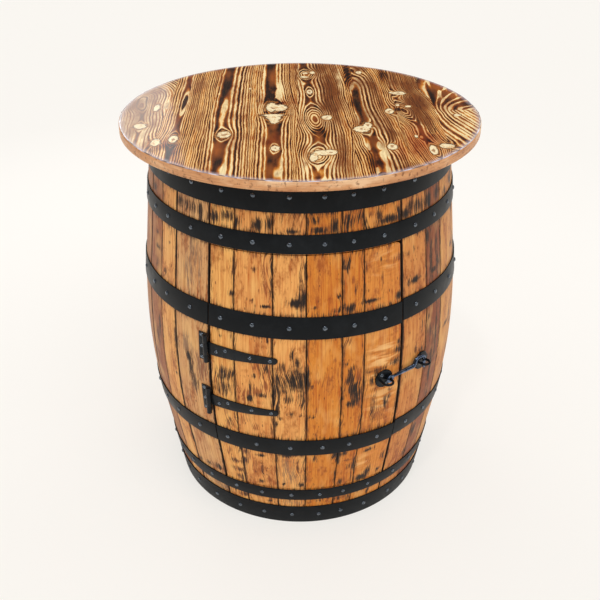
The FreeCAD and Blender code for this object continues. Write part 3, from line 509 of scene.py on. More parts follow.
@dataclass(frozen=True)
class TorchedPineTop:
    """Pine boards torched black, brushed back and flooded with clear gloss lacquer.

    The soft summer wood burns to chocolate and black, the hard rings stay cream, with an amber edge
    where the char thins out; knots stay pale. The lacquer lays a wet gloss over it all.
    """

    name: str = "torched_brushed_pine_under_lacquer"
    streak_width: float = 2.2 * MM
    streak_length: float = 60 * MM
    patch_width: float = 26 * MM
    patch_length: float = 80 * MM
    thinnest_ring: float = 0.74 * MM
    thickest_ring: float = 1.5 * MM

    def material(self) -> bpy.types.Material:
        """Build the finish; it reads the attributes grain, rings and char.

        Returns:
            The material.
        """
        mix = Recipe(self.name)
        grain = mix.attribute("grain", "Vector")
        count = mix.attribute("rings", "Vector")
        count = mix.split(count)
        period = count.node.outputs["Y"]
        smoke = count.node.outputs["Z"]
        char = mix.attribute("char", "Vector")
        knot = mix.split(char)
        glow = knot.node.outputs["Y"]
        flame = knot.node.outputs["Z"]

        def noise_at(width: float, length: float, detail: float) -> Socket:
            """Noise that is a width across and a length along the boards."""
            place = mix.scaled(grain, (1 / width, 1 / length, 1.0))
            return mix.noise(place, 1.0, detail, 0.6)

        streaks = noise_at(self.streak_width, self.streak_length, 3.0)
        patches = noise_at(self.patch_width, self.patch_length, 4.0)
        wander = noise_at(9 * MM, 26 * MM, 2.0)
        # Distance from the nearest hard ring, in metres.
        drift = mix.calc("MULTIPLY_ADD", wander, 3.0 * MM, -1.5 * MM)
        drift = mix.calc("DIVIDE", drift, period)
        shift = mix.calc("ADD", count, drift)
        share = mix.calc("FRACT", shift)
        centred = mix.calc("MULTIPLY_ADD", share, 2.0, -1.0)
        away = mix.calc("ABSOLUTE", centred)
        off_ring = mix.calc("SUBTRACT", 1.0, away)
        half = mix.calc("MULTIPLY", period, 0.5)
        gap = mix.calc("MULTIPLY", off_ring, half)
        # Wide rings leave broad cream lines, narrow ones thin amber lines.
        broad = mix.span(period, 3.5 * MM, 8 * MM, 0.0, 1.0)
        thick = mix.span(broad, 0.0, 1.0, self.thinnest_ring, self.thickest_ring)
        own = mix.add("ShaderNodeTexNoise", {"W": count, "Scale": 0.9, "Detail": 1.0}, noise_dimensions="1D")
        own = mix.span(own, 0.3, 0.7, 0.5, 1.45)
        thick = mix.calc("MULTIPLY", thick, own)
        burn = mix.calc("DIVIDE", gap, thick)
        burn = mix.calc("MULTIPLY", burn, 0.25)
        # Beside a wide dark heart the char thins out slowly.
        past = mix.calc("SUBTRACT", burn, 0.25)
        past = mix.calc("MAXIMUM", past, 0.0)
        slow = mix.span(period, 9 * MM, 24 * MM, 0.0, 0.48)
        burn = mix.calc("MULTIPLY_ADD", mix.calc("MULTIPLY", past, slow), -1.0, burn)
        # The fine rings never burn as deep as the wide ones.
        deepest = mix.span(broad, 0.0, 0.5, 0.54, 0.95)
        burn = mix.calc("MINIMUM", burn, deepest)
        thin = mix.span(patches, 0.3, 0.7, 0.16, -0.12)
        burn = mix.calc("ADD", burn, thin)
        burn = mix.calc("MULTIPLY_ADD", flame, -0.85, burn)
        ramp = mix.add("ShaderNodeValToRGB", {0: burn}, out="Color")
        stops = ((0.23, "EBA548"), (0.4, "BA6A20"), (0.54, "6F3511"), (0.7, "38190A"), (0.92, "1E1009"))
        bar = ramp.node.color_ramp
        while len(bar.elements) < len(stops):
            bar.elements.new(0.5)
        for stop, (place, code) in zip(bar.elements, stops):
            stop.position = place
            stop.color = colour(code)
        flamed = mix.calc("MULTIPLY_ADD", flame, 2.0, broad, clamp=True)
        core = mix.blend(flamed, colour("EDBD78"), colour("FEE6AE"))
        cored = mix.span(burn, 0.3, 0.17, 0.0, 1.0)
        body = mix.blend(cored, ramp, core)
        # Ember-coloured patches inside the wide dark bands.
        dark = mix.span(burn, 0.36, 0.55, 0.0, 1.0)
        warm = mix.span(patches, 0.5, 0.7, 0.0, 0.55)
        lit = mix.calc("MULTIPLY_ADD", patches, 1.6, -0.8)
        lit = mix.calc("ADD", glow, lit)
        lit = mix.calc("MULTIPLY", lit, 1.0, clamp=True)
        inside = mix.calc("MULTIPLY", glow, 4.0, clamp=True)
        lit = mix.calc("MULTIPLY", lit, inside)
        warm = mix.calc("MAXIMUM", lit, warm)
        warm = mix.calc("MULTIPLY", warm, dark)
        body = mix.blend(warm, body, colour("A4561C"))
        # Clouds of deeper brown drift over all the boards.
        clouds = noise_at(48 * MM, 130 * MM, 3.0)
        body = mix.tint(body, "B98250", clouds, 0.5, 0.68, 0.85, "MULTIPLY")
        # Smoke: the torch has browned everything and the rings only just show.
        cloud = mix.calc("MULTIPLY_ADD", patches, 1.8, -0.9)
        veiled = mix.calc("ADD", smoke, cloud)
        veiled = mix.span(veiled, 0.16, 0.8, 0.0, 1.0)
        stained = mix.blend(veiled, body, colour("AE7440"), "MULTIPLY")
        veil = mix.span(streaks, 0.36, 0.66, 0.0, 1.0)
        murk = mix.blend(veil, colour("472710"), colour("8A5424"))
        hidden = mix.calc("MULTIPLY", veiled, 0.62)
        body = mix.blend(hidden, stained, murk)
        # Where smoke is below nothing the flame stood longer: deep red-brown.
        red = mix.calc("MULTIPLY", smoke, -1.0, clamp=True)
        body = mix.blend(red, body, colour("C87838"), "MULTIPLY")
        # Brushed streaks along the boards.
        body = mix.tint(body, "6E4220", streaks, 0.45, 0.72, 0.35)
        # Knots stay cream, with a thin brown heart.
        ring = mix.noise(grain, 120.0, 3.0, bent=0.8)
        knot_edge = mix.calc("MULTIPLY_ADD", ring, 0.9, knot)
        knot_edge = mix.calc("SUBTRACT", knot_edge, 0.2)
        body = mix.tint(body, "C07A34", knot_edge, 0.42, 0.54, 0.7)
        body = mix.tint(body, "4A2A15", knot_edge, 0.54, 0.62, 0.85)
        pale = mix.span(knot_edge, 0.7, 0.8, 0.0, 0.97)
        mottle = mix.span(ring, 0.5, 0.66, 0.0, 0.8)
        body = mix.blend(pale, body, mix.blend(mottle, colour("FBEABF"), colour("D79E5C")))
        body = mix.tint(body, "9A6030", knot_edge, 1.26, 1.36, 0.75)
        # Just inside the rim the top is tinted pale bluish grey: a painted reflection of the light along the
        # rounded edge.
        flat = mix.coordinates()
        flat = mix.add("ShaderNodeVectorMath", {0: flat, 1: (1.0, 1.0, 0.0)}, operation="MULTIPLY")
        out = mix.add("ShaderNodeVectorMath", {0: flat}, out="Value", operation="LENGTH")
        out = mix.calc("MULTIPLY_ADD", wander, 7 * MM, out)
        body = mix.tint(body, "CDBFC4", out, 374 * MM, 387 * MM, 0.6)
        # On the leftmost board a pale brown veil washes the rings out: a painted sheen of the lacquer.
        left = mix.split(flat)
        left = mix.calc("MULTIPLY_ADD", patches, 90 * MM, left)
        body = mix.tint(body, "A98560", left, -240 * MM, -300 * MM, 0.3)
        return mix.surface(Base_Color=body, Roughness=0.5, IOR=1.46, Specular_IOR_Level=0.05,
                           Coat_Weight=0.34, Coat_Roughness=0.11, Coat_IOR=1.5)


@dataclass(frozen=True)
class BarePineEdge:
    """The sawn and sanded rim of the pine boards, oiled but not torched: pinkish tan, faint saw lines."""

    name: str = "sanded_oiled_pine_rim"
    line_height: float = 1.6 * MM
    line_length: float = 60 * MM

    def material(self) -> bpy.types.Material:
        """Build the finish from the object's own coordinates.

        Returns:
            The material.
        """
        mix = Recipe(self.name)
        place = mix.coordinates()
        lines_place = mix.scaled(place, (1 / self.line_length, 1 / self.line_length, 1 / self.line_height))
        lines = mix.noise(lines_place, 1.0, 3.0)
        across = mix.scaled(place, (8.0, 4.0, 30.0))
        clouds = mix.noise(across, 1.0, 5.0, 0.65)
        flecks = mix.noise(place, 130.0, 3.0)
        body = mix.tint(colour("D69C6A"), "A96C42", lines, 0.4, 0.7, 0.65)
        body = mix.tint(body, "EFC79C", clouds, 0.5, 0.62, 0.8)
        body = mix.tint(body, "9A5C34", clouds, 0.46, 0.34, 0.8)
        body = mix.tint(body, "6E3F22", flecks, 0.58, 0.7, 0.7)
        body = mix.tint(body, "6A3E24", clouds, 0.36, 0.26, 0.8)
        bump = mix.bump(clouds, 0.6, 0.5 * MM)
        return mix.surface(Base_Color=body, Roughness=0.46, Normal=bump, Specular_IOR_Level=0.35)


@dataclass(frozen=True)
class LipHighlight:
    """The lip along the rim's upper rounded edge: a painted bluish-white highlight, broken by char, glossy.
    """

    name: str = "lip_painted_highlight"

    def material(self) -> bpy.types.Material:
        """Build the finish.

        Returns:
            The material.
        """
        mix = Recipe(self.name)
        place = mix.coordinates()
        thick = mix.noise(place, 38.0, 4.0)
        share = mix.span(thick, 0.42, 0.6, 0.0, 1.0)
        # The pale bluish colour is a painted highlight of the rounded edge; the brown is char.
        body = mix.blend(share, colour("6B5248"), colour("CFC9DA"))
        return mix.surface(Base_Color=body, Roughness=0.2, IOR=1.5, Coat_Weight=0.4, Coat_Roughness=0.08)


@dataclass(frozen=True)
class InsideWood:
    """Plain planed pine or oak for what stands inside: straight grain, a thin coat of oil."""

    name: str
    pale: str
    deep: str
    along: int = 1
    line_width: float = 3 * MM
    line_length: float = 160 * MM

    def material(self) -> bpy.types.Material:
        """Build the finish from the object's own coordinates; along is the number of the grain's axis.

        Returns:
            The material.
        """
        mix = Recipe(self.name)
        place = mix.coordinates()
        scale = [1 / self.line_width] * 3
        scale[self.along] = 1 / self.line_length
        lines_place = mix.scaled(place, tuple(scale))
        lines = mix.noise(lines_place, 1.0, 4.0, 0.6)
        clouds = mix.noise(place, 9.0, 2.0)
        shade = mix.span(lines, 0.42, 0.72, 0.0, 0.8)
        body = mix.blend(shade, colour(self.pale), colour(self.deep))
        tint = mix.span(clouds, 0.35, 0.7, 0.0, 0.3)
        body = mix.blend(tint, body, colour(self.deep))
        bump = mix.bump(lines, 0.3, 0.4 * MM)
        return mix.surface(Base_Color=body, Roughness=0.58, Normal=bump, Specular_IOR_Level=0.3)


@dataclass(frozen=True)
class PaintedIron:
    """Iron under black paint, powder coat or bluing: a dark body, small bumps, a broad soft sheen."""

    name: str
    body: str
    scuffed: str
    roughness: float
    metallic: float = 0.0
    specular: float = 0.5
    pebble: float = 1.2 * MM
    pebble_depth: float = 0.05 * MM
    scuff_size: float = 45 * MM

    def material(self) -> bpy.types.Material:
        """Build the finish from the object's own coordinates.

        Returns:
            The material.
        """
        mix = Recipe(self.name)
        place = mix.coordinates()
        pebbles = mix.noise(place, 1 / self.pebble, 2.0)
        scuffs = mix.noise(place, 1 / self.scuff_size, 5.0, 0.65)
        share = mix.span(scuffs, 0.45, 0.72, 0.0, 1.0)
        body = mix.blend(share, colour(self.body), colour(self.scuffed))
        rough = mix.span(scuffs, 0.3, 0.7, self.roughness - 0.06, self.roughness + 0.1)
        bump = mix.bump(pebbles, 0.5, self.pebble_depth)
        sockets: dict[str, Any] = {"Base_Color": body, "Roughness": rough, "Normal": bump}
        if self.metallic:
            sockets["Metallic"] = self.metallic
        else:
            sockets["Specular_IOR_Level"] = self.specular
        return mix.surface(**sockets)


class Finishes:
    """Every finish of the cabinet, each built once."""

    def __init__(self) -> None:
        """Build the materials."""
        self.stave = ScorchedStaveOak().material()
        self.top = TorchedPineTop().material()
        self.rim = BarePineEdge().material()
        self.lip = LipHighlight().material()
        self.head = InsideWood("sawn_oak_head", "C59A66", "8D6238").material()
        self.shelf = InsideWood("planed_pine_shelf", "DDB27A", "B27F48").material()
        self.cleat = InsideWood("planed_pine_cleat", "D9AE76", "AD7A45", along=0).material()
        self.hoop = PaintedIron("satin_black_hoop_steel", "101316", "1B1E21", 0.38,
                                specular=0.12).material()
        self.nail = PaintedIron("gloss_black_nail_head", "59616B", "7C858F", 0.24, metallic=0.85,
                                scuff_size=6 * MM).material()
        self.hinge = PaintedIron("black_powder_coated_hinge", "101316", "1A1E22", 0.32,
                                 specular=0.22).material()
        self.zinc = PaintedIron("zinc_plated_screw", "68727E", "8C96A2", 0.24, metallic=0.9,
                                scuff_size=5 * MM).material()
        self.black_screw = PaintedIron("black_domed_screw", "78828E", "98A2AE", 0.24, metallic=0.85,
                                       scuff_size=4 * MM).material()
        self.blued = PaintedIron("blued_waxed_hook_iron", "4E5C74", "8496B4", 0.22, metallic=0.95,
                                 scuff_size=14 * MM).material()
        self.rose = PaintedIron("black_waxed_rose_plate", "0E1114", "181D22", 0.26, specular=0.16,
                                scuff_size=12 * MM).material()


# --- Staves ------------------------------------------------------------------------------------

@dataclass(frozen=True)
class Mark:
    """A stain on the staves: where it is, how large, and how much of each colour it has."""

    azimuth: float
    height: float
    width: float
    length: float
    soot: float = 0.0
    rust: float = 0.0
    ash: float = 0.0
    figure: float = 0.0


# Each mark: azimuth in degrees; height, width and length in millimetres; then the amounts of soot,
# rust, ash and figure, as far as there are any.
MARKS = tuple(Mark(*row) for row in (
    # Between the two upper hoops.
    (-41.5, 793, 52, 26, 0.62, 0, 0.8), (-36, 790, 14, 30, 0.95), (-46, 798, 14, 24, 0.9),
    (-30.5, 786, 26, 24, 0.8, 0, 0.5), (-2.5, 776, 30, 10, 0.95, 0, 0.4), (2.6, 800, 10, 20, 0.7),
    (20, 797, 20, 22, 0.75, 0, 0.5), (27.5, 790, 12, 30, 0.8, 0.5), (57, 792, 20, 30, 0.85),
    (41.5, 792, 22, 26, 0.9), (36, 794, 20, 20, 0.8, 0.4), (15.6, 700, 9, 24, 0.9),
    (27.4, 418, 14, 30, 0.7, 0.5), (26.4, 400, 20, 16, 0.5, 0.6), (-25.4, 794, 26, 20, 0.75, 0, 0.3),
    (-21.2, 786, 16, 22, 0.8), (-14.1, 784, 18, 26, 1.05), (-10.7, 788, 20, 30, 0.8), (-6, 800, 4, 18, 0.9),
    (-1.6, 792, 5, 40, 0.55, 0.6), (0.4, 790, 4, 38, 0, 0.8), (5.3, 797, 14, 14, 0.7, 0.5),
    (6, 778, 30, 9, 1.1), (11.4, 785, 12, 26, 1.05), (15.8, 790, 24, 34, 0.8, 0, 0.5),
    (21.7, 783, 8, 14, 0.8), (24.2, 799, 14, 12, 0.4, 0.9), (31.5, 780, 44, 16, 1.1),
    (38.4, 781, 40, 22, 1.1), (44.5, 788, 36, 30, 0.95), (50.8, 787, 22, 34, 1.1), (64, 780, 18, 18, 0.7),
    # Between the second and third hoops.
    (-23, 634, 13, 13, 1.05), (-22.4, 690, 5, 60, 0.4, 0.7), (-15.2, 694, 12, 12, 0.45, 1),
    (-15, 722, 14, 22, 0, 0.7), (-11.6, 690, 16, 50, 0, 0.5), (-11.4, 655, 20, 40, 0, 0.75),
    (-11.4, 616, 26, 5, 1.15, 0.4), (-9.6, 617, 7, 9, 1.2), (-9.4, 650, 4, 60, 0.75),
    (-9.3, 700, 4, 40, 0.7), (-1.2, 627, 32, 18, 1.15), (0.6, 634, 20, 38, 0.85, 0, 0.3),
    (0.4, 660, 14, 30, 0.55, 0.5), (-0.8, 690, 3, 70, 0.6), (0.6, 695, 3, 80, 0.65), (1.7, 690, 3, 90, 0.7),
    (-16.1, 625, 5, 9, 0.5, 1), (12.9, 638, 8, 8, 0.95, 0.4), (4.3, 615, 9, 6, 0.9),
    (12.6, 608, 20, 6, 1.15), (14.1, 613, 6, 14, 1.1), (16.5, 608, 19, 18, 1.05), (14.5, 706, 7, 22, 1.15),
    (16.2, 709, 8, 26, 1), (15.3, 697, 16, 12, 1.1), (18.9, 647, 5, 22, 0.3, 0.9),
    (17.7, 669, 6, 14, 0, 0.9), (24.2, 615, 40, 7, 1), (23, 616, 22, 9, 1.15), (21.8, 617, 5, 14, 0.9),
    (28.4, 702, 7, 8, 0.9, 0.5), (28.3, 665, 3, 110, 0.35, 0.55), (30.3, 695, 10, 10, 0, 0.8),
    (34.9, 694, 20, 16, 0.35, 1.1), (35.3, 611, 18, 16, 1.1), (29.5, 690, 60, 60, 0, 0, 0, 0.55),
    (39.9, 629, 10, 14, 0.6), (42.5, 630, 32, 13, 1.15), (39.6, 694, 7, 9, 0.7, 0.6),
    (42.6, 699, 7, 12, 0.6, 0.7), (54.3, 627, 26, 11, 1.1), (49.8, 712, 12, 40, 1), (57, 634, 10, 14, 0.8),
    (-38.5, 700, 44, 60, 0, 0, 0.65), (-41, 660, 30, 110, 0, 0, 0.55), (-47, 675, 6, 14, 0.8),
    (-36, 650, 10, 90, 0, 0, 0.5), (-51, 715, 6, 5, 0.8), (-52, 690, 8, 5, 0.75),
    (-54.7, 620, 7, 11, 0.9, 0.6), (-60.7, 662, 18, 10, 1), (-61.8, 693, 12, 9, 0.8),
    (-61.5, 620, 16, 30, 0.5, 0.5),
    # Between the two bilge hoops.
    (-41.2, 449, 15, 30, 1.05), (-40.6, 420, 14, 60, 0.75), (-35.8, 440, 34, 70, 0, 0.4, 0.9),
    (-39.6, 385, 20, 50, 0.45, 0, 0.9), (-38.2, 390, 9, 24, 0.6, 0.6), (-42, 480, 30, 60, 0, 0, 0.6),
    (-44, 340, 20, 40, 0, 0, 0.35), (-41.5, 330, 8, 40, 0, 0.6), (-34, 320, 14, 30, 0, 0.45),
    (-49.6, 379, 9, 6, 0.95), (-51, 410, 26, 60, 0, 0.5), (-52, 470, 16, 40, 0, 0.6),
    (-48.4, 470, 6, 70, 0.85), (-62, 440, 24, 60, 0.35, 0.75), (-59.6, 470, 8, 60, 0.85),
    (-63, 360, 24, 50, 0, 0.6), (-26.5, 440, 42, 36, 0.72, 0, 0.4), (-27.6, 432, 26, 22, 0.8),
    (-23.8, 444, 16, 26, 0.8), (-27, 405, 44, 40, 0.5, 0.55), (-25, 312, 26, 30, 0.3, 0.6),
    (-26.9, 533, 10, 10, 0.5), (-22.9, 536, 5, 14, 0.6), (-10.6, 541, 10, 12, 0.5, 0.9),
    (-11.4, 471, 10, 18, 0.8, 0.8), (-10.3, 465, 8, 40, 0, 0.9), (-15.6, 451, 6, 10, 0.8, 0.6),
    (-15, 475, 12, 20, 0, 0.7), (-17.2, 392, 13, 13, 1.35), (-12.9, 404, 16, 11, 1.05, 0.8),
    (-12.4, 470, 18, 60, 0.3, 0.6), (-18.4, 360, 30, 60, 0, 0.5), (-16.6, 420, 8, 30, 0.6, 0.5),
    (-18.8, 405, 34, 30, 0, 0.85), (-15, 412, 50, 24, 0, 0.75), (-20, 385, 16, 10, 0, 0.9),
    (-11.2, 430, 22, 40, 0, 0.7), (-13.6, 384, 22, 8, 0, 0.7), (-2.6, 508, 8, 26, 0.85),
    (-1.4, 488, 14, 24, 0.7), (-7.4, 430, 20, 66, 0.84), (-4.4, 440, 22, 56, 0.84), (-2, 452, 24, 56, 0.86),
    (0.4, 446, 22, 54, 0.98), (2.1, 452, 12, 70, 1.1), (-8.9, 410, 6, 110, 1), (-7.6, 372, 9, 44, 0.78),
    (-4, 400, 24, 20, 0.62), (0.8, 400, 20, 40, 0.6), (-6, 478, 16, 26, 0.55), (-2.9, 360, 6, 12, 0.9, 0.4),
    (0.3, 356, 5, 9, 0.8, 0.6), (-6.7, 347, 6, 6, 0.9), (-8.1, 330, 8, 12, 0.95, 0.3),
    (-19.9, 330, 20, 26, 0, 0.6), (-15.8, 312, 14, 20, 0, 0.55), (-26.8, 338, 9, 20, 0, 0.8),
    (3.8, 431, 10, 8, 0.4, 0.8), (3.1, 352, 6, 7, 1, 0.5), (4.7, 351, 5, 8, 0.9, 0.5),
    (5.6, 444, 10, 16, 0, 0.7), (11.3, 494, 7, 12, 0, 0.8), (8.5, 450, 40, 50, 0, 0.35),
    (13, 460, 14, 44, 0, 0.55), (5.6, 366, 6, 18, 0, 0.7), (15.6, 482, 7, 7, 1),
    (16.4, 535, 12, 16, 0.3, 0.8), (17.6, 466, 16, 16, 0.7, 0.7), (18.3, 416, 24, 40, 1.25),
    (19.4, 398, 16, 44, 1.1), (17.2, 440, 18, 40, 0.75, 0.8), (19.8, 440, 14, 60, 0, 0.95),
    (18.4, 380, 16, 26, 0.8), (16.6, 377, 12, 13, 1.05), (14.2, 394, 6, 9, 1.2), (14, 410, 4, 24, 0.8),
    (21.3, 470, 4, 60, 0.5, 0.6), (29.5, 480, 90, 70, 0, 0, 0, 0.95), (26.5, 440, 60, 60, 0, 0, 0, 0.8),
    (30, 360, 70, 110, 0, 0, 0, 0.7), (35.1, 483, 24, 14, 0.9), (35.2, 503, 9, 14, 0.85),
    (34, 455, 26, 16, 0.85), (27, 450, 46, 10, 0.55, 0.6), (27, 436, 26, 30, 0.6), (25, 426, 10, 26, 0.8),
    (26, 350, 12, 90, 0.4, 0.75), (31, 352, 10, 30, 0.85), (31.5, 368, 16, 12, 0.75),
    (33, 386, 24, 10, 0.3, 0.7), (28.5, 330, 40, 50, 0, 0.55), (23, 405, 10, 24, 0, 0.7),
    (46.6, 511, 9, 30, 0.55, 0.9), (50.6, 524, 9, 16, 0.6), (43.7, 462, 10, 22, 0.4, 0.8),
    (46.6, 455, 12, 24, 0.6, 0.5), (39, 400, 10, 30, 0.3, 0.6), (51, 400, 14, 40, 0.8),
    (48, 430, 10, 60, 0.5), (53.6, 380, 12, 150, 0.85), (55.8, 470, 9, 150, 0.9),
    (52.2, 660, 10, 110, 0.85), (56.2, 650, 9, 90, 0.95), (54.6, 300, 12, 60, 0.6, 0.7),
    (41, 368, 6, 8, 0.4, 0.9), (52, 480, 30, 60, 0.3, 0.4), (45, 330, 20, 30, 0, 0.5),
    # Between the lower bilge hoop and the bottom quarter hoop.
    (-21.4, 229, 24, 20, 0.5, 1.1), (-21.6, 198, 22, 26, 0.6, 1.2), (-25, 187, 26, 16, 0.5, 1),
    (-25.2, 159, 26, 16, 0.5, 1), (-24.4, 134, 20, 22, 0.6, 0.9), (-22.2, 236, 10, 10, 0.9),
    (-19.6, 215, 16, 40, 0, 0.8), (-14.3, 226, 13, 8, 1.2), (-16.4, 224, 8, 5, 0.7),
    (-15.4, 136, 10, 12, 1.15), (-14.5, 180, 6, 50, 0.45, 1), (-12.4, 148, 8, 30, 0, 0.8),
    (-17.5, 190, 10, 50, 0, 0.6), (-4, 236, 60, 11, 0.85, 0, 0.5), (-8.6, 222, 6, 30, 0.8),
    (-4, 180, 60, 90, 0, 0, 0.45), (0.9, 136, 20, 16, 0.8, 0.4), (-0.8, 195, 10, 50, 0.3, 0.8),
    (0.8, 215, 4, 40, 0.6), (-6.3, 136, 6, 7, 0.9, 0.5), (1.6, 160, 4, 60, 0.6),
    (-27, 215, 20, 30, 0, 0.45), (5.7, 224, 6, 24, 1.1), (14, 228, 20, 22, 1.15), (14.1, 210, 9, 30, 1.1),
    (16.4, 229, 18, 16, 0.95, 0, 0.5), (26.3, 220, 17, 9, 1.1), (29.3, 222, 8, 6, 0.7),
    (27.8, 143, 13, 34, 1.15), (25.4, 131, 34, 18, 1.15), (20.8, 175, 5, 80, 0.85),
    (18.9, 183, 8, 16, 0.5, 0.7), (18, 205, 26, 8, 0.3, 0.7), (34.2, 180, 8, 26, 0.7),
    (33.2, 137, 11, 12, 0.8, 0.5), (15.8, 132, 16, 18, 0.75), (25, 180, 46, 60, 0, 0, 0, 0.5),
    (13.7, 150, 4, 60, 0.7), (51, 205, 16, 44, 0.75, 0.6), (49, 140, 18, 26, 0.6),
    (-35, 138, 26, 16, 0.85, 0.5), (-40.5, 133, 18, 13, 0.85), (-46, 128, 10, 16, 0.8),
    (-47.6, 190, 5, 90, 0.75), (-53, 205, 20, 40, 0, 0.5), (-41, 190, 10, 70, 0, 0.45),
    # Between the two lowest hoops.
    (-24.4, 72, 22, 20, 0.6, 1), (-12.7, 70, 14, 9, 0.8, 0.5), (4, 70, 10, 8, 0.6, 0.6),
    (8, 76, 14, 10, 0.8), (16, 74, 20, 12, 0.75, 0.4), (20.4, 70, 6, 20, 0.9), (29.8, 70, 7, 24, 1.2),
    (-3, 72, 50, 20, 0, 0, 0.5), (-35, 70, 60, 16, 0, 0, 0.6),
))


@dataclass(frozen=True)
class Stave:
    """One stave: the arc and the heights it fills, and the look of its wood."""

    name: str
    nodes: tuple[str, ...]
    body: str
    start: float
    end: float
    low: float
    high: float
    tone: str
    speckle: float
    seed: int
    low_groove: bool = False
    high_groove: bool = False
    round_corner: float = 0.0
    rounding_and_shade: tuple[float, float] = (1.0, 1.0)


# Where the hoops lie; along their edges the staves are darkened, partly by soot and partly by painted shade.
HOOP_BANDS = ((3 * MM, 53 * MM), (84 * MM, 114 * MM), (244 * MM, 284 * MM), (552 * MM, 597 * MM),
              (731 * MM, 769 * MM), (815 * MM, 872 * MM))


